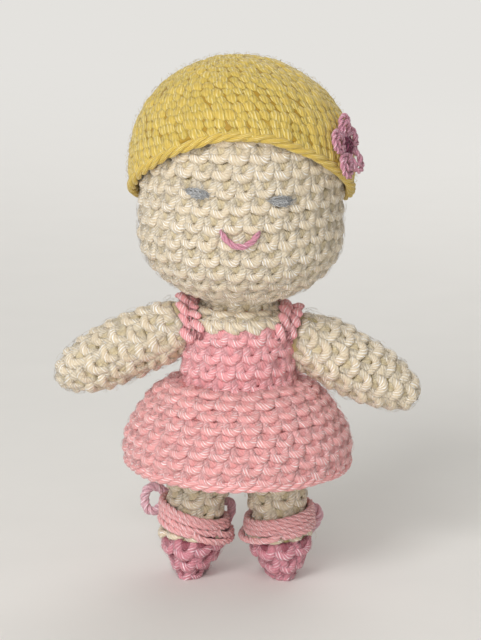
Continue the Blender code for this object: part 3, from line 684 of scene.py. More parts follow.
def cord(
    weave: Weave, path: Array, up: Array, radius: float, plies: int = 3, lead: float = 0.0036,
    closed: bool = False, sides: int = 6, depth: float = 0.7, slot: int = 0, taper: float = 0.0,
) -> None:
    """Lays plied yarn along a path.

    Ply j of n follows path + o (cos q * side + sin q * up), q = tau (j / n + s / lead), where s is the
    length along the path. The offset o and the ply's own radius add up to the yarn's radius, and a ply is
    PLUMP times as thick as n round plies side by side would be.

    Args:
        weave: what it is added to.
        path: T points.
        up: one direction, or one for each point, that the path never points along.
        radius: the yarn's radius.
        plies: how many plies.
        lead: the length in which a ply goes round once.
        closed: whether the path is a loop.
        sides: points in a ply's ring.
        depth: how light the yarn is painted, from the painted shade of the pockets at 0 to the base tone with
            painted highlights at 1.
        slot: the material's number.
        taper: the share of the length at each end over which the yarn thins.
    """
    side, above = axes(path, up, closed)
    steps = np.linalg.norm(np.diff(path, axis=0, append=path[:1]), axis=1)
    s = running(steps)[:-1]
    whole = s[-1] + (steps[-1] if closed else 0)
    turns = whole / lead
    if closed:
        turns = round(turns) or 1
    share = s / whole
    thin = np.ones_like(share)
    if taper:
        thin = 0.35 + 0.65 * np.minimum(eased(share, 0, taper), eased(1 - share, 0, taper))
    half = math.sin(math.pi / plies)
    own = PLUMP * radius * half / (1 + half)
    q = TAU * (np.arange(plies)[:, None] / plies + share * turns)[..., None]
    out = side * np.cos(q) + above * np.sin(q)
    centres = path + out * ((radius - own) * thin)[:, None]
    # The plies take the default painted top light.
    weave.strands(
        centres, out, 2 * own * thin, 2 * own * thin, sides, depth,
        phase=np.arange(plies) * 3.7, closed=closed, slot=slot,
    )


@dataclass(frozen=True)
class Leg:
    """One strand of a stitch, as tables from its start to its end.

    u is the share across the stitch, v the share up the row from its middle, lift the distance off the
    form, and width and height the strand's section. depth scales how light the strand is painted, so a
    lower one takes more painted shade.
    """

    u: tuple[float, ...]
    v: tuple[float, ...]
    lift: tuple[float, ...]
    width: tuple[float, ...]
    height: tuple[float, ...]
    sides: int = 7
    depth: float = 1.0

    def tables(self) -> Array:
        """The five tables as rows of an array."""
        return np.array([self.u, self.v, self.lift, self.width, self.height])


class Stitch(Enum):
    """The kinds of stitch, each a few strands."""

    SINGLE = (
        Leg(
            (0.10, 0.11, 0.13, 0.16, 0.22, 0.34), (0.58, 0.32, 0.06, -0.15, -0.32, -0.40),
            (-1.25, -1.1, -1.05, -1.0, -1.0, -1.25), (2.3, 2.6, 2.7, 2.6, 2.4, 1.9),
            (1.4, 1.5, 1.6, 1.6, 1.5, 1.2),
        ),
        Leg(
            (-0.08, 0.08, 0.24, 0.40, 0.55, 0.68, 0.78, 0.84, 0.87, 0.88),
            (-0.22, -0.29, -0.37, -0.43, -0.42, -0.34, -0.19, 0.0, 0.24, 0.54),
            (-1.0, -0.72, -0.56, -0.5, -0.5, -0.56, -0.7, -0.9, -1.05, -1.25),
            (2.0, 2.3, 2.4, 2.5, 2.5, 2.45, 2.4, 2.4, 2.4, 2.2),
            (1.3, 1.6, 1.8, 1.85, 1.85, 1.8, 1.7, 1.6, 1.5, 1.3),
        ),
        Leg(
            (-0.10, 0.16, 0.36, 0.52, 0.68, 0.86, 1.10), (0.24, 0.18, 0.13, 0.12, 0.13, 0.18, 0.24),
            (-1.3, -1.0, -1.05, -1.2, -1.05, -1.0, -1.3), (2.4, 2.9, 3.0, 3.0, 3.0, 2.9, 2.4),
            (1.2, 1.3, 1.2, 1.1, 1.2, 1.3, 1.2), 6, 0.5,
        ),
    )
    SLIP = (
        Leg(
            (-0.06, 0.12, 0.34, 0.58, 0.80, 1.0), (0.36, 0.28, 0.12, -0.10, -0.28, -0.37),
            (-1.2, -0.8, -0.6, -0.6, -0.8, -1.2), (1.5, 2.1, 2.5, 2.5, 2.1, 1.5),
            (1.0, 1.3, 1.4, 1.4, 1.3, 1.0), 7,
        ),
    )


@dataclass
class Rows:
    """Stitches along a spiral that climbs a form: each one's angle, width in angle, run and row pitch."""

    angle: Array
    step: Array
    run: Array
    pitch: Array

    @staticmethod
    def climb(
        form: TurnedForm | LegForm, low: float, high: float, pitch: float, gauge: float, drift: float = 0.31,
        start: float = BACK, fewest: int = 5,
    ) -> "Rows":
        """Works rows up a form.

        A row of n = girth / gauge stitches starts at the back, and its stitch i lies at
        start + tau (i + drift) / n, raised by i / n of a row.

        Args:
            form: the form.
            low: the run of the first row's foot.
            high: the run of the last row's top.
            pitch: about how high a row is.
            gauge: how wide a stitch is.
            drift: the share of a stitch that each row moves on.
            start: the angle where rows start.
            fewest: the least number of stitches in a row.

        Returns:
            The stitches.
        """
        count = max(1, int(round((high - low) / pitch)))
        tall = (high - low) / count
        parts = []
        for row in range(count):
            foot = low + tall * (row + 0.5)
            n = max(fewest, int(round(TAU * float(form.radius(foot)) / gauge)))
            i = np.arange(n)
            angle = start + TAU * (i + drift * row) / n
            run = foot + tall * ((i + 0.5) / n - 0.5)
            parts.append(np.stack([angle, np.full(n, TAU / n), run, np.full(n, tall)]))
        return Rows(*np.concatenate(parts, axis=1))

    def kept(self, mask: Array) -> "Rows":
        """The stitches where the mask holds."""
        return Rows(self.angle[mask], self.step[mask], self.run[mask], self.pitch[mask])


def work(
    weave: Weave, form: Form, rows: Rows, stitch: Stitch, seed: int, slot: int = 0,
    raised: Array | float = 0.0, size: float = 1.0, swing: float = 0.04,
) -> None:
    """Works rows of a stitch on a form, no two quite alike.

    A strand's point t lies at angle a + da (u(t) + j), run r + p (v(t) + k) and lift l(t) + m, where j, k
    and m are small seeded numbers of that stitch.

    Args:
        weave: what they are added to.
        form: the form.
        rows: the stitches.
        stitch: the kind.
        seed: for the unevenness.
        slot: the material's number.
        raised: a lift for all of them, or one for each.
        size: how thick the yarn is.
        swing: how uneven they are.
    """
    rng = np.random.default_rng(seed)
    m = len(rows.angle)
    j, k = rng.normal(0, swing, (2, m, 1))
    lift = rng.normal(0, 1.8 * swing, (m, 1)) * MM
    for leg in stitch.value:
        u, v, off, wide, tall = leg.tables()
        fat = size * (1 + rng.normal(0, 1.5 * swing, (m, 1)))
        bend = 1 + rng.normal(0, 2 * swing, (m, 1))
        angle = rows.angle[:, None] + rows.step[:, None] * (u + j)
        run = rows.run[:, None] + rows.pitch[:, None] * (v * bend + k)
        centres, normals = form.skin(angle, run, off * MM + lift + raised)
        # Painted shade: strands sunk deeper into the form get a darker tone and fewer painted highlights.
        depth = leg.depth * eased(off, -2.0, -0.55)
        weave.strands(
            centres, normals, wide * MM * fat, tall * MM * fat, leg.sides, 0.12 + 0.7 * depth,
            phase=rng.uniform(0, 40, m), slot=slot, painted_top_light=0.14,
        )


def fuzz(weave: Weave, form: Form, rows: Rows, seed: int, per: int) -> None:
    """Adds stray fibres, thin arcs that leave the yarn and come back to it.

    Args:
        weave: what they are added to.
        form: the form.
        rows: the stitches they stand on.
        seed: for their places.
        per: how many for each stitch.
    """
    rng = np.random.default_rng(seed)
    m = len(rows.angle) * per
    all_four = (rows.angle, rows.step, rows.run, rows.pitch)
    at, step, foot, pitch = (np.repeat(v, per)[:, None] for v in all_four)
    t = np.linspace(0, 1, 6)
    reach = rng.uniform(-0.75, 0.75, (m, 1))
    climb = rng.uniform(-0.6, 0.6, (m, 1))
    tall = rng.uniform(0.15, 0.75, (m, 1)) * MM
    angle = at + step * (rng.uniform(0, 1, (m, 1)) + reach * t)
    curl = 0.25 * np.sin(TAU * t * rng.uniform(0.4, 1.2, (m, 1)))
    run = foot + pitch * (rng.uniform(-0.5, 0.5, (m, 1)) + climb * t + curl)
    arc = np.sin(math.pi * np.minimum(t * rng.uniform(0.6, 1.0, (m, 1)), 1))
    centres, normals = form.skin(angle, run, 1.6 * tall * arc - 0.4 * MM)
    weave.strands(centres, normals, FIBRE, FIBRE, 3, 0.95, phase=rng.uniform(0, 9, m), painted_top_light=0)


def core(name: str, body: str, node: str, finish: Filling) -> bpy.types.Object:
    """A stuffed core: the filling's solid, with its close points merged, and finely dented by its finish.

    Args:
        name: the object's name.
        body: the CAD body it rides on.
        node: the CAD node it is shaped from and stands for.
        finish: its finish.

    Returns:
        The object.
    """
    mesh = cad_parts[node].data.copy()
    mesh.materials.clear()
    mesh.materials.append(finish.material())
    thing = placed(name, mesh)
    weld = thing.modifiers.new("weld", "WELD")
    weld.merge_threshold = 0.00002
    bpy.context.view_layer.update()
    done = bpy.data.meshes.new_from_object(thing.evaluated_get(bpy.context.evaluated_depsgraph_get()))
    thing.modifiers.clear()
    thing.data = done
    done.name = name
    done.shade_smooth()
    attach(thing, body)
    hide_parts(node)
    log.info("%s: %d points", name, len(done.vertices))
    return thing


@dataclass
class Head:
    """The head with its cap, face and flower."""

    cheek: float = 0.0855
    crown: float = 0.1016
    radius: float = 0.0247
    chin: float = 0.0174
    opening: float = 0.0080
    nap: float = 0.0003
    press: float = 0.0010
    stitch: float = 0.00485
    cap: float = 0.0028
    cap_rows: int = 26
    cap_row: float = 0.00202
    cap_stitch: float = 0.0026
    pole_tilt: float = math.radians(24.0)
    front_rise: float = 0.0088
    side_drop: float = 0.0070
    back_drop: float = 0.0136
    edge: float = 0.0011
    edge_yarn: float = 0.00128
    eye_reach: float = 0.0029
    eye_spread: float = 0.0010
    eye_yarn: float = 0.00036
    smile_reach: float = 0.0048
    smile_sag: float = 0.0040
    smile_yarn: float = 0.00080
    flower_turn: float = math.radians(66.0)
    flower_rise: float = 0.0057
    petal_yarn: float = 0.0007
    petals: tuple[tuple[float, float], ...] = (
        (0.35, 1.0), (1.62, 1.0), (2.85, 0.9), (4.15, 1.05), (5.2, 1.1)
    )

    def __post_init__(self) -> None:
        """Works out the form: a quarter ellipse for the chin, a straight cheek and a round crown."""
        self.radius -= self.nap
        a = np.linspace(math.acos(self.opening / self.radius), 0, 60)
        chin = np.stack([self.radius * np.cos(a), self.cheek - self.chin * np.sin(a)], -1)
        b = np.linspace(0, math.pi / 2, 80)
        crown = np.stack([self.radius * np.cos(b), self.crown + self.radius * np.sin(b)], -1)
        self.form = TurnedForm(
            outline=np.concatenate([chin, crown]), seed=3, press=self.press, press_from=self.crown,
            lean=self.press,
        )
        self.foot = self.form.length - self.radius * math.pi / 2

    def run_at(self, height: Array) -> Array:
        """The run at a height: round the crown above its foot, and straight down the cheek below it."""
        over = (height - self.crown) / self.radius
        return self.foot + self.radius * np.where(over > 0, np.arcsin(np.clip(over, 0, 1)), over)

    def rim(self, angle: Array) -> Array:
        """The run of the cap's rim, at the height crown + mean + sway cos a + dip cos 2a."""
        middle = (self.front_rise - self.back_drop) / 2
        sway = (self.front_rise + self.back_drop) / 2
        mean = (middle - self.side_drop) / 2
        dip = (middle + self.side_drop) / 2
        return self.run_at(self.crown + mean + sway * np.cos(angle) + dip * np.cos(2 * angle))

    def make_shell(self) -> None:
        """The head's rows of single crochet, as far up as the cap hides them."""
        weave = Weave()
        weave.wall(self.form, 0.0005, self.form.length - 0.004, 64, 40)
        rows = Rows.climb(self.form, 0.0002, self.form.length, ROW, self.stitch)
        rows = rows.kept(rows.run < self.rim(rows.angle) + 0.004)
        work(weave, self.form, rows, Stitch.SINGLE, 11)
        fuzz(weave, self.form, rows, 12, 5)
        weave.make("head_crochet", "head", (CREAM,), "head_shell")

    def cap_stitches(self, rng: np.random.Generator) -> tuple[Array, Array]:
        """Where the strands of the cap's stitches lie.

        A stitch at polar angle p and turn q about an axis tilted back lies in the direction d, at
        a = atan2(dx, -dy), as far down from the crown as the ray along d leaves the head's form.

        Args:
            rng: for the unevenness.

        Returns:
            The angle and the run of each strand's points.
        """
        pitch = self.cap_row / self.radius
        parts = []
        for row in range(self.cap_rows):
            p = pitch * (row + 0.6)
            girth = TAU * math.sin(min(p, math.pi / 2)) * (self.radius + self.cap)
            n = max(4, int(round(girth / self.cap_stitch)))
            q = TAU * (np.arange(n) + rng.uniform(0, 1) + rng.normal(0, 0.08, n)) / n
            parts.append(np.stack([np.full(n, p), q, np.full(n, TAU / n)]))
        p, q, step = np.concatenate(parts, axis=1)[..., None]
        u, v = Stitch.SLIP.value[0].tables()[:2]
        v = v + rng.normal(0, 0.07, p.shape)
        polar = p - pitch * rng.normal(1.55, 0.1, p.shape) * v
        turn = q + step * rng.normal(1.05, 0.1, p.shape) * (u - 0.5)
        x, ahead, up = np.sin(polar) * np.sin(turn), -np.sin(polar) * np.cos(turn), np.cos(polar)
        c, s = math.cos(self.pole_tilt), math.sin(self.pole_tilt)
        y, z = ahead * c + up * s, up * c - ahead * s
        straight = math.pi / 2 - z / np.maximum(np.hypot(x, y), 0.2)
        down = self.radius * np.where(z > 0, np.arccos(np.clip(z, -1, 1)), straight)
        return np.arctan2(x, -y), self.form.length - down

    def make_cap(self) -> None:
        """The cap: small slanted stitches in rows round a pole behind the crown, and stray fibres."""
        weave = Weave()
        around = 72
        rim = self.rim(TAU * np.arange(around) / around) + 2 * self.edge
        weave.wall(self.form, 0, self.form.length - 0.00005, around, 24, self.cap - 0.0006, 0.0003, rim)
        rng = np.random.default_rng(5)
        angle, run = self.cap_stitches(rng)
        keep = (run > self.rim(angle) + 0.5 * self.edge).all(axis=1)
        keep &= (run < self.form.length - 0.0004).all(axis=1)
        m = int(keep.sum())
        _, _, off, wide, tall = Stitch.SLIP.value[0].tables()
        lift = 0.7 * off * MM + rng.normal(0, 0.07, (m, 1)) * MM
        centres, normals = self.form.skin(angle[keep], run[keep], self.cap - 0.0005 + lift)
        fat = (1 + rng.normal(0, 0.1, (m, 1))) * MM
        # Painted shade: the sunken ends of each stitch get a darker tone.
        weave.strands(
            centres, normals, 1.2 * wide * fat, tall * fat, 6, 0.3 + 0.5 * eased(off, -1.3, -0.6),
            phase=rng.uniform(0, 40, m), painted_top_light=0.16,
        )
        t = np.linspace(-1, 1, 5)[:, None]
        lean = unit(rng.normal(0, 1, (m, 1, 3)))
        middle, up = centres[:, 2:3], normals[:, 2:3]
        arcs = middle + 0.0011 * lean * t + up * (0.0011 - 0.0006 * t * t)
        weave.strands(arcs, up, FIBRE, FIBRE, 3, 0.9, painted_top_light=0)
        weave.make("cap_crochet", "head", (YELLOW,), "cap")

    def make_edge(self) -> None:
        """The cap's edge: a rope of three long strands along the rim."""
        weave = Weave()
        a = TAU * np.arange(480) / 480
        wave = 0.0002 * np.sin(8 * a) * np.sin(5 * a)
        at, up = self.form.skin(a, self.rim(a) + self.edge + wave, self.edge + 0.0005)
        cord(weave, at, up, self.edge_yarn, lead=-0.0110, closed=True, sides=9)
        weave.make("cap_edge_braid", "head", (YELLOW,), "cap_edge")

    def face(self, x: Array, rise: Array, lift: Array) -> tuple[Array, Array]:
        """Points and normals over the face at a distance to the side and a rise over the cheek."""
        return self.form.skin(np.arcsin(x / self.radius), self.run_at(self.cheek + rise), lift)

    def make_eye(self, name: str, x: float, rise: float, slope: float, seed: int) -> None:
        """A closed eye: fine strands that draw together at its two corners, and stray fibres.

        Args:
            name: the CAD node's name.
            x: how far to the doll's left its middle is.
            rise: how far over the cheek its middle is.
            slope: how much it rises towards the doll's left.
            seed: for the unevenness.
        """
        weave = Weave()
        rng = np.random.default_rng(seed)
        t = np.linspace(-1, 1, 26)
        for row in np.linspace(-1, 1, 6):
            spread = self.eye_spread * row * (1 - 0.6 * t * t) + rng.normal(0, 0.00008)
            reach = (self.eye_reach * (1 - 0.25 * row * row) + rng.normal(0, 0.0002)) * t
            lift = 0.0007 - 0.0008 * t**4 - 0.0002 * abs(row)
            at, up = self.face(x + reach, rise + slope * reach + spread, lift)
            light = rng.uniform(0.45, 0.9)
            cord(weave, at, up, self.eye_yarn, plies=2, lead=0.0026, sides=5, depth=light, taper=0.2)
        t = np.linspace(-1, 1, 9)
        for _ in range(26):
            share = rng.uniform(-1, 1) + 0.35 * t
            lean = rng.normal(0, 0.0006) * t + rng.uniform(-0.0013, 0.0013) * (1 - 0.5 * share**2)
            reach = 0.0028 * share
            at, up = self.face(x + reach, rise + slope * reach + lean, 0.0009 - 0.0005 * t**2)
            weave.strands(at[None], up[None], 2 * FIBRE, 2 * FIBRE, 3, rng.uniform(0.6, 1.0), painted_top_light=0)
        weave.make(name + "_stitched", "head", (SLATE,), name)

    def make_mouth(self) -> None:
        """The smile: one thick strand with three plies that sags between its ends."""
        weave = Weave()
        t = np.linspace(-1, 1, 60)
        sag = 0.0009 + self.smile_sag * t * t
        at, up = self.face(self.smile_reach * t - 0.0002, sag, 0.0010 - 0.0014 * t**6)
        cord(weave, at, up, self.smile_yarn, lead=0.0070, sides=7, depth=0.6, taper=0.2)
        weave.make("mouth_stitched", "head", (MAUVE,), "mouth")

    def make_flower(self) -> None:
        """The hair flower: five looped petals of doubled yarn round a heart of dark yarn, a painted shade for
        the flower's hollow middle.

        A petal's point at t lies far (4.0 - 3.0 k cos t) out and 1.9 k sin t (1 + (1 - cos t) / 4) across,
        in millimetres, where k is 1 for the outer of its two loops. The heart is a flat spiral of dark yarn,
        a painted shade.
        """
        weave = Weave()
        run = self.run_at(self.crown + self.flower_rise)
        at, up = self.form.skin(np.array([self.flower_turn]), run, self.cap - 0.0004)
        at, up = at[0], up[0]
        side = unit(np.cross(up, np.array([0.0, 0.0, 1.0])))
        top = np.cross(side, up)
        t = TAU * np.arange(12) / 12
        out = 1 - np.cos(t)
        for petal, (turn, far) in enumerate(self.petals):
            ahead = side * math.cos(turn) + top * math.sin(turn)
            steep = 1.2 if petal % 2 else 0.3
            for k in (1.0, 0.62):
                reach = far * (0.0040 - 0.0030 * k * np.cos(t) - 0.0009 * (1 - k))
                wide = 0.0019 * k * np.sin(t) * (1 + 0.25 * out)
                rise = 0.0007 + 0.0004 * steep * out + 0.0006 * (1 - k)
                loop = np.stack([reach, wide, rise], -1) @ np.stack([ahead, np.cross(up, ahead), up])
                line = spline(at + loop, 0.0004, True)
                cord(weave, line, up, self.petal_yarn, plies=2, lead=0.0034, closed=True, sides=7)
        # Painted shade: a dark spiral fills the flower's hollow heart.
        t = np.linspace(0, 1, 90)
        ring, spin = 0.0019 * (1 - 0.75 * t), 2.2 * TAU * t
        heart = np.stack([ring * np.cos(spin), ring * np.sin(spin), 0.0012 + 0.0005 * t], -1)
        line = at + heart @ np.stack([side, top, up])
        cord(weave, line, up, self.petal_yarn, plies=2, slot=1, taper=0.1)
        weave.make("hair_flower_looped", "head", (MAUVE, HEART_SHADE), "hair_flower")

    def build(self) -> None:
        """Makes all of the head."""
        core("head_core", "head", "head_stuffing", FILL)
        self.make_shell()
        self.make_cap()
        self.make_edge()
        self.make_eye("left_eye", 0.0091, 0.0113, -0.04, 21)
        self.make_eye("right_eye", -0.0099, 0.0129, -0.12, 22)
        self.make_mouth()
        self.make_flower()


@dataclass
class Torso:
    """The body in its two yarns, the straps over the shoulders, the skirt and its hem."""

    yoke: float = 0.0646
    waist: float = 0.0492
    radius: float = 0.014
    neck_ball: float = 0.009
    neck_sunk: float = 0.27
    base_rise: float = 0.0005
    stitch: float = 0.0049
    drop: float = 0.0195
    flare: float = 0.0277
    fabric: float = 0.0024
    skirt_rows: int = 8
    skirt_stitch: float = 0.00485
    hem: float = 0.00125
    hem_yarn: float = 0.00145
    strap_foot: float = 0.0032
    strap_ends: float = math.radians(20.0)
    strap_rows: int = 8

    def __post_init__(self) -> None:
        """Works out the body's outline and the skirt's."""
        shares = (
            (0.02, 0.45), (0.07, 0.78), (0.16, 0.955), (0.28, 1.0), (0.42, 0.985), (0.58, 1.0), (0.76, 1.0),
            (0.86, 0.975), (0.93, 0.89), (0.975, 0.77),
        )
        low = HIP + self.base_rise
        rise = NECK - self.neck_ball * self.neck_sunk - low
        points = [(0.0, low)] + [(self.radius * r, low + rise * h) for h, r in shares]
        ball = np.linspace(-math.asin(self.neck_sunk), math.pi / 2, 12)
        points += [(self.neck_ball * math.cos(b), NECK + self.neck_ball * math.sin(b)) for b in ball]
        outline = spline(np.array(points), FINE)
        outline[:, 0] = np.maximum(outline[:, 0], 0)
        outline[:, 1] = np.maximum.accumulate(outline[:, 1])
        self.form = TurnedForm(outline=outline, seed=5)
        bell = np.array([
            (1.0, 0.97), (0.878, 1.0), (0.707, 0.968), (0.59, 0.90), (0.468, 0.794), (0.34, 0.66),
            (0.22, 0.508), (0.078, 0.262), (0.0, 0.0),
        ])
        start = self.radius + GAP + self.fabric / 2
        skirt = np.stack([start + (self.flare - start) * bell[:, 1], self.waist - self.drop * bell[:, 0]], -1)
        skirt = np.concatenate([skirt, [[self.radius, self.waist + 0.0008]]])
        self.bell = TurnedForm(outline=spline(skirt, FINE), seed=7)

    def make_body(self) -> None:
        """The bodice and the yoke: single crochet that changes yarn at the chest."""
        form = self.form
        change, neck, top = (form.run_at(v) for v in (self.yoke, NECK + 0.0035, NECK + 0.0070))
        for name, low, high, end, finish, seed in (
            ("bodice", 0.0008, change, change, BODICE, 31), ("yoke", change, neck, top, CREAM, 32),
        ):
            weave = Weave()
            weave.wall(form, low, end, 48, 24)
            rows = Rows.climb(form, low, high, ROW, self.stitch)
            work(weave, form, rows, Stitch.SINGLE, seed)
            if name == "yoke":
                rows = rows.kept(rows.run < change + 0.004)
                dip = Rows(rows.angle + rows.step * 0.5, rows.step, rows.run - 0.0016, rows.pitch)
                work(weave, form, dip, Stitch.SLIP, 33, raised=0.0001)
            fuzz(weave, form, rows, seed + 40, 4)
            weave.make(name + "_crochet", "torso", (finish,), name)

    def make_skirt(self) -> None:
        """The skirt: a sheet of single crochet that flares to the hem, lined by its own wrong side."""
        bell = self.bell
        whole = bell.length
        sheet = Weave()
        sheet.wall(bell, 0.0001, whole - 0.0001, 96, 30, -0.0011, -0.0019)
        ground = sheet.make("skirt_ground", "torso", (PINK,), "skirt")
        weave = Weave()
        row = whole / self.skirt_rows
        rows = Rows.climb(bell, -0.08 * row, whole - 0.08 * row, row, self.skirt_stitch)
        work(weave, bell, rows, Stitch.SINGLE, 41, size=0.86, raised=0.0001)
        lining = Rows.climb(bell, 0.0006, whole - 0.002, 0.0034, self.skirt_stitch)
        work(weave, bell, lining, Stitch.SLIP, 42, size=0.8, raised=-0.0017)
        fuzz(weave, bell, rows, 43, 4)
        stitches = weave.make("skirt_crochet", "torso", (PINK,), "skirt")
        mean = float(np.mean(bell.radius(np.linspace(0, whole, 50))))

    def make_hem(self) -> None:
        """The hem: a rope of three long strands round the skirt's edge."""
        weave = Weave()
        a = TAU * np.arange(360) / 360
        height = self.waist - self.drop - GAP - self.hem + 0.0009 + 0.00015 * np.sin(9 * a)
        ring = self.flare - self.hem - 0.0001 + 0.00012 * np.sin(7 * a) * np.sin(3 * a)
        path = np.stack([ring * np.sin(a), -ring * np.cos(a), height], -1)
        cord(weave, path, np.array([0.0, 0.0, 1.0]), self.hem_yarn, lead=-0.0100, closed=True, sides=9)
        weave.make("skirt_hem_braid", "torso", (PINK,), "skirt_hem")

    def strap_point(self, side: Side, angle: Array, reach: Array, lift: Array) -> tuple[Array, Array]:
        """Points over the shoulder: along rays from under it, past the body and the arm's root.

        Args:
            side: whose shoulder.
            angle: from the front, over the top, to the back.
            reach: how far to the side.
            lift: how far off what is under.

        Returns:
            The points and the directions of the rays.
        """
        angle, reach, lift = np.broadcast_arrays(angle, reach, lift)
        zero = np.zeros_like(angle)
        ahead = np.stack([zero, -np.cos(angle), np.sin(angle)], -1)
        origin = np.stack([side * reach, zero, zero + SHOULDER - self.strap_foot], -1)
        run = np.linspace(0, 0.02, 240)
        x, y, z = np.moveaxis(origin[..., None, :] + ahead[..., None, :] * run[:, None], -1, 0)
        inside = np.hypot(x, y) < np.interp(z, self.form.heights, self.form.radii)
        root = np.stack([x - side * SHOULDER_REACH, y, z - SHOULDER + side * SHOULDER_TILT])
        inside |= np.linalg.norm(root, axis=0) < ARM_BALL
        last = (inside * run).max(axis=-1)
        return origin + ahead * (last + lift)[..., None], ahead

    def make_strap(self, side: Side) -> None:
        """A strap: single crochet, one stitch wide, over a flat band of yarn."""
        weave = Weave()
        band = StrapForm(torso=self, side=side)
        ends, count = self.strap_ends, self.strap_rows
        span = (math.pi - 2 * ends) / count
        middle = np.repeat(ends + span * (np.arange(count) + 0.5), 2) + np.tile([0, span / 2], count)
        across = np.tile([-0.55, 0.0], count)
        rows = Rows(across, np.full(2 * count, 0.55), middle, np.full(2 * count, span * 1.25))
        work(weave, band, rows, Stitch.SLIP, 60 + side, swing=0.05, size=0.95)
        run = np.linspace(ends, math.pi - ends, 40)
        for row in (-1.5, -0.5, 0.5, 1.5):
            at, up = band.skin(row * MM / band.width, run, -0.0011)
            # Painted shade: the band under the stitches is painted dark.
            cord(weave, at, up, 0.0006, plies=2, sides=5, depth=0.3)
        weave.make(side.named("strap_crochet"), "torso", (BODICE,), side.named("strap"))

    def build(self) -> None:
        """Makes all of the torso."""
        core("torso_core", "torso", "torso_stuffing", PINK_FILL)
        self.make_body()
        self.make_skirt()
        self.make_hem()
        for side in Side:
            self.make_strap(side)


@dataclass
class StrapForm(Form):
    """A strap's face: angle is the share across it from its middle, run the angle over the shoulder."""

    torso: Torso = None
    side: Side = Side.LEFT
    width: float = 0.0044
    thick: float = 0.0017
    inset: float = 0.0059
    bulge: float = 0.0028

    def skin(self, angle: Array, run: Array, lift: Array) -> tuple[Array, Array]:
        """Points over the shoulder, which bears further out at its top than at the strap's ends."""
        middle = SHOULDER_REACH - (self.inset - self.bulge * np.sin(np.clip(run, 0, math.pi)))
        reach = middle + self.side * angle * self.width
        return self.torso.strap_point(self.side, run, reach, self.thick + lift)


@dataclass
class Arm:
    """A stuffed arm that tapers to a rounded hand."""

    side: Side
    droop: float
    radius: float = 0.0078
    length: float = 0.0312
    stitch: float = 0.0056
    first: float = 0.4
    pressed: float = 0.0012

    def __post_init__(self) -> None:
        """Works out the form, which hangs down from the shoulder before it is turned outwards."""
        shares = (
            (0.978, 0.34), (0.925, 0.54), (0.825, 0.735), (0.67, 0.925), (0.49, 0.985), (0.26, 1.0),
            (0.12, 0.98), (0.0, 0.936),
        )
        points = [(0.0, -self.length)] + [(self.radius * w, -self.length * a) for a, w in shares]
        dome = np.linspace(0.2, 1.25, 6)
        points += [(ARM_BALL * math.cos(b), ARM_BALL * math.sin(b)) for b in dome]
        outline = spline(np.array(points), FINE)
        outline[:, 0] = np.maximum(outline[:, 0], 0)
        side = self.side
        self.form = TurnedForm(
            outline=outline, seed=9 + side, tilt=-side * (math.pi / 2 - self.droop),
            centre=(side * SHOULDER_REACH, 0.0, SHOULDER - side * SHOULDER_TILT),
        )

    def build(self) -> None:
        """Makes the arm, whose stitches are pressed in towards the shoulder."""
        side, form, end = self.side, self.form, self.form.length
        body = side.named("arm")
        core(side.named("arm_core"), body, side.named("arm_stuffing"), FILL)
        weave = Weave()
        weave.wall(form, 0.0004, end - 0.0003, 36, 36)
        rows = Rows.climb(form, 0.0003, end - 0.0012, ROW, self.stitch, start=BACK + self.first * side)
        pressed = -self.pressed * eased(rows.run, end - 0.0115, end - 0.0050)[:, None]
        work(weave, form, rows, Stitch.SINGLE, 70 + side, swing=0.05, raised=pressed)
        fuzz(weave, form, rows, 72 + side, 5)
        weave.make(side.named("arm_crochet"), body, (CREAM,), body)


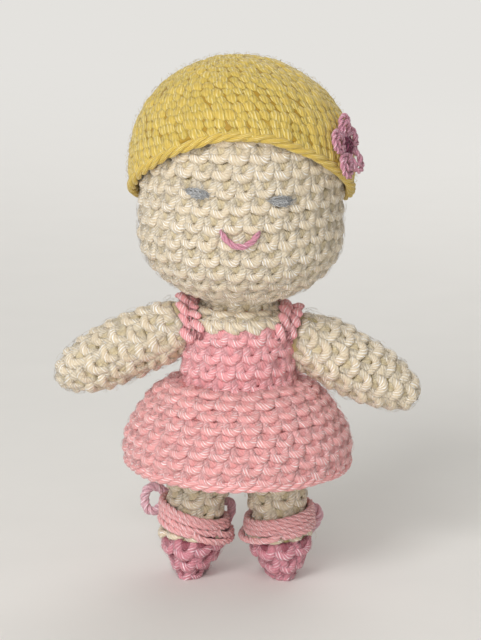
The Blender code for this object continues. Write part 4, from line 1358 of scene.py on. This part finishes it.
@dataclass
class FootedLeg:
    """A stuffed leg with its slipper, the yarn wound round its ankle and the bow of that yarn.

    laid holds the ribbon's heights over the slipper at the back, slope how much higher it is on the outer
    side, and the bow's two loops have their reach and their tilt in degrees.
    """

    side: Side
    laid: tuple[float, ...]
    slope: float
    outer: tuple[float, float]
    inner: tuple[float, float]
    radius: float = 0.0079
    ankle: float = 0.0068
    clearance: float = 0.0010
    slipper: float = 0.0108
    ball: float = 0.0074
    half_width: float = 0.0082
    half_length: float = 0.0092
    slipper_row: float = 0.0038
    stitch: float = 0.0057
    ribbon_yarn: float = 0.00088
    bow_yarn: float = 0.00122
    bow_rise: float = 0.0044
    bow_behind: float = 0.0035

    def __post_init__(self) -> None:
        """Works out the form from the sole's middle to the hip."""
        foot = (
            (0.0, 0.34, 0.70), (0.09, 0.44, 0.79), (0.20, 0.54, 0.87), (0.37, 0.69, 0.95), (0.56, 0.85, 1.0),
            (0.78, 0.975, 1.0), (1.0, 0.985, 0.93),
        )
        leg = ((0.0, 0.45), (0.13, 0.0), (0.27, 0.30), (0.42, 0.82), (0.58, 1.0), (0.82, 0.95))
        table = [(0.0, 0.0, 0.0)]
        table += [(self.slipper * h, self.half_width * w, self.half_length * n) for h, w, n in foot]
        low = self.slipper + GAP
        for h, grown in leg:
            r = self.ankle + (self.radius - self.ankle) * grown
            table.append((low + (HIP - low) * h, r, r))
        for b in np.linspace(0, 1.25, 7):
            r = self.ball * math.cos(b)
            table.append((HIP + self.ball * math.sin(b), r, r))
        dense = np.maximum(spline(np.array(table), FINE), 0)
        dense[:, 0] = np.maximum.accumulate(dense[:, 0])
        hip = (self.side * (self.radius + self.clearance / 2), 0.0, HIP)
        self.form = LegForm(seed=13 + self.side, side=self.side, table=dense, hip=hip)

    def make_ribbon(self) -> None:
        """The ribbon: one plied yarn wound up the ankle, higher on the outer side of the leg.

        Its height over the slipper is a line through the heights that it has at the back after each turn,
        plus slope times the share of the way to the outer side.
        """
        weave = Weave()
        count = len(self.laid) - 1
        a = np.linspace(0, TAU * count, 160 * count)
        angle = BACK + self.side * a
        rise = np.interp(a / TAU, np.arange(count + 1), np.array(self.laid))
        run = self.form.run_at(self.slipper + rise + self.slope * self.side * np.sin(angle))
        lift = GAP + self.ribbon_yarn + 0.0001 * np.sin(2.3 * a)
        at, up = self.form.skin(angle, run, lift)
        cord(weave, at, up, self.ribbon_yarn, lead=0.0060, sides=8, depth=0.72)
        body, node = self.side.named("leg"), self.side.named("ribbon")
        weave.make(node + "_wound", body, (RIBBON,), node)

    def make_bow(self) -> None:
        """The bow behind the ankle: two round loops and a knot of plied yarn.

        A loop is a table of shares of its reach out, its depth back and its height, turned by its tilt.
        """
        weave = Weave()
        shares = np.array([
            (0.10, 0.0, 0.0), (0.42, 0.2, 0.35), (0.60, 0.1, 0.62), (0.69, 0.0, 0.92), (0.80, 0.0, 1.0),
            (0.91, -0.1, 0.74), (0.95, -0.2, 0.0), (0.90, -0.3, -0.74), (0.78, -0.2, -1.0), (0.66, 0.0, -0.7),
            (0.56, 0.2, -0.3), (0.34, 0.5, -0.22), (0.10, 0.9, -0.1),
        ])
        height = self.slipper + self.bow_rise
        back = float(self.form.radius(self.form.run_at(height))) + self.bow_behind
        knot = self.form.middle(np.array(height)) + np.array([0, back, 0])
        loops = []
        for way, (reach, tilt) in ((self.side, self.outer), (-self.side, self.inner)):
            x, y, z = (shares * np.array([reach, 0.0030, 0.0031])).T
            c, s = math.cos(math.radians(tilt)), math.sin(math.radians(tilt))
            loops.append(np.stack([way * (x * c - z * s), y, z * c + x * s], -1))
        line = spline(np.concatenate([loops[0], loops[1][::-1]]) + knot, 0.0004)
        up = np.array([0.0, 1.0, 0.12])
        cord(weave, line, up, self.bow_yarn, lead=0.0058, sides=8, depth=0.65, taper=0.03)
        t = TAU * np.arange(20) / 20
        band = knot + np.stack([0.00044 * np.sin(t), 0.0016 * np.cos(t), 0.0017 * np.sin(t)], -1)
        cord(weave, band, np.array([1.0, 0.0, 0.0]), 0.0006, plies=2, closed=True, depth=0.5)
        body, node = self.side.named("leg"), self.side.named("bow")
        weave.make(node + "_tied", body, (BOW,), node)

    def build(self) -> None:
        """Makes the leg."""
        side, form = self.side, self.form
        body = side.named("leg")
        core(side.named("leg_core"), body, side.named("leg_stuffing"), FILL)
        rim = form.run_at(self.slipper)
        for part, low, high, finish, seed, row in (
            ("slipper", 0.0003, rim, ROSE, 80, self.slipper_row),
            ("leg", rim, form.length - 0.0012, CREAM, 84, ROW),
        ):
            weave = Weave()
            weave.wall(form, max(low, 0.0005), high - 0.0001, 36, 24)
            rows = Rows.climb(form, low, high, row, self.stitch)
            work(weave, form, rows, Stitch.SINGLE, seed + side, swing=0.05, size=0.95, raised=0.0001)
            fuzz(weave, form, rows, seed + 2 + side, 3)
            weave.make(side.named(part + "_crochet"), body, (finish,), side.named(part))
        self.make_ribbon()
        self.make_bow()


@dataclass
class SewingThreads:
    """The rings of sewing yarn that hold the head and the limbs on."""

    yarn: float = 0.00048
    lead: float = 0.003

    def ring(self, node: str, body: str) -> None:
        """A plied loop through the middle of a thread ring's solid, found from its own points."""
        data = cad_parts[node].data
        points = np.empty(len(data.vertices) * 3)
        data.vertices.foreach_get("co", points)
        points = points.reshape(-1, 3)
        centre = (points.min(0) + points.max(0)) / 2
        _, _, own = np.linalg.svd(points - points.mean(0), full_matrices=False)
        flat = (points - centre) @ own[:2].T
        radius = float(np.linalg.norm(flat, axis=1).mean())
        t = TAU * np.arange(60) / 60
        path = centre + radius * np.stack([np.cos(t), np.sin(t)], -1) @ own[:2]
        weave = Weave()
        cord(weave, path, own[2], self.yarn, plies=2, lead=self.lead, closed=True, sides=5)
        weave.make(node + "_sewn", body, (SEWING,), node)

    def build(self) -> None:
        """Makes all five."""
        self.ring("neck_thread", "neck")
        for side in Side:
            for joint in ("shoulder", "hip"):
                self.ring(side.named(joint + "_thread"), side.named(joint))


@dataclass
class Studio:
    """The floor, the light and the camera."""

    distance: float = 0.70
    elevation: float = math.radians(12.8)
    roll: float = math.radians(0.8)
    lens: float = 109.0
    target: Point = (0.0002, 0.0, 0.0634)
    floor_colour: Screen = (232, 230, 226)
    far_colour: Screen = (228, 226, 222)
    air: Colour = (1.0, 0.98, 0.94)
    air_level: float = 0.34
    seen_level: float = 0.78
    floor_front: float = -2.0
    floor_back: float = 1.2
    bend: float = 1.0
    wall_top: float = 3.0
    half_width: float = 3.0
    lamps: tuple[tuple[str, Point, float, float], ...] = (
        ("key", (-0.35, -0.70, 0.62), 0.4, 5.1),
        ("fill", (-0.15, -0.95, 0.20), 0.4, 2.8),
        ("back", (0.2, 0.8, 0.6), 0.8, 4.0),
    )

    def floor_finish(self) -> bpy.types.Material:
        """The floor's material, which turns to a plain pale tone far off where the camera looks at it."""
        material = bpy.data.materials.new("studio_floor")
        p = Painter(material)
        colour = srgb(self.floor_colour)
        grain = p.noise(p.place(), 40.0, 2.0)
        p.dress(Base_Color=p.mix(colour, dimmed(colour, 0.96), grain), Roughness=0.9)
        far = p.add("ShaderNodeVectorMath", {"operation": "LENGTH"}, {0: p.place()}, "Value").ease(0.2, 0.9)
        seen = p.add("ShaderNodeLightPath", {}, {}, "Is Camera Ray")
        pale = p.add("ShaderNodeEmission", {}, {"Color": srgb(self.far_colour)}, "Emission")
        both = p.add("ShaderNodeMixShader", {}, {0: far * seen, 1: Sock(p, p.shader.outputs[0]), 2: pale})
        p.feed(p.tree.nodes["Material Output"].inputs["Surface"], both)
        return material

    def make_floor(self) -> None:
        """A pale sweep: flat under the doll, then a quarter round behind it, and then a wall."""
        x = np.linspace(-self.half_width, self.half_width, 25)
        flat = np.stack([np.linspace(self.floor_front, self.floor_back, 20), np.zeros(20)], -1)
        b = np.linspace(0, math.pi / 2, 20)[1:]
        bend = np.stack([self.floor_back + self.bend * np.sin(b), self.bend * (1 - np.cos(b))], -1)
        wall = np.stack([
            np.full(8, self.floor_back + self.bend), np.linspace(self.bend + 0.2, self.wall_top, 8),
        ], -1)
        line = np.concatenate([flat, bend, wall])
        points = np.stack([np.repeat(x, len(line)), *np.tile(line.T, len(x))], -1)
        index = np.arange(len(points)).reshape(len(x), len(line))
        quads = np.stack([index[:-1, :-1], index[1:, :-1], index[1:, 1:], index[:-1, 1:]], -1)
        mesh = bpy.data.meshes.new("floor")
        mesh.from_pydata(points.tolist(), [], quads.reshape(-1, 4).tolist())
        mesh.shade_smooth()
        mesh.materials.append(self.floor_finish())
        placed("floor", mesh)

    def make_world(self) -> None:
        """Pale surroundings: a plain level for the light, and paler where the camera looks at them."""
        world = bpy.data.worlds.new("studio")
        p = Painter(world)
        rays = [p.add("ShaderNodeLightPath", {}, {}, ray) for ray in ("Is Camera Ray", "Is Glossy Ray")]
        seen = rays[0].math("MAXIMUM", *rays)
        levels = {"Value": seen, "To Min": self.air_level, "To Max": self.seen_level}
        p.dress(Strength=p.add("ShaderNodeMapRange", {}, levels), Color=self.air)
        bpy.context.scene.world = world

    def aim(self, thing: bpy.types.Object, place: Vector, ahead: Vector, roll: float = 0.0) -> None:
        """Puts a lamp or a camera at a place, looking ahead and rolled about its axis."""
        thing.location = place
        thing.rotation_mode = "QUATERNION"
        thing.rotation_quaternion = ahead.to_track_quat("-Z", "Y") @ Quaternion((0, 0, 1), roll)

    def make_lamps(self) -> None:
        """Square soft lamps that look at the doll."""
        for name, place, size, power in self.lamps:
            data = bpy.data.lights.new(name, "AREA")
            data.energy = power
            data.size = size
            self.aim(placed(name, data), Vector(place), Vector(self.target) - Vector(place))

    def make_camera(self) -> None:
        """The camera at the photograph's angle, leaning a little."""
        back = Vector((0, -math.cos(self.elevation), math.sin(self.elevation)))
        data = bpy.data.cameras.new("camera")
        data.sensor_fit = "VERTICAL"
        data.sensor_height = 24.0
        data.lens = self.lens
        data.clip_start = 0.01
        camera = placed("camera", data)
        self.aim(camera, Vector(self.target) + back * self.distance, -back, self.roll)
        bpy.context.scene.camera = camera

    def build(self) -> None:
        """Makes the studio."""
        self.make_floor()
        self.make_world()
        self.make_lamps()
        self.make_camera()
        bpy.context.scene.view_settings.view_transform = "Standard"


def main() -> None:
    """Builds the doll and the studio."""
    logging.basicConfig(level=logging.INFO, format="%(message)s")
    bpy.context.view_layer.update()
    Studio().build()
    Head().build()
    Torso().build()
    Arm(Side.LEFT, droop=math.radians(27.7)).build()
    Arm(Side.RIGHT, droop=math.radians(24.9)).build()
    FootedLeg(
        Side.LEFT, laid=(-0.0002, 0.0012, 0.0027, 0.0042, 0.0056), slope=0.0013,
        outer=(0.0112, -30.0), inner=(0.0070, -20.0),
    ).build()
    FootedLeg(
        Side.RIGHT, laid=(0.0002, 0.0012, 0.0032, 0.0047, 0.0059), slope=0.0021,
        outer=(0.0132, 1.0), inner=(0.0098, -24.0),
    ).build()
    SewingThreads().build()


if __name__ == "__main__":
    main()
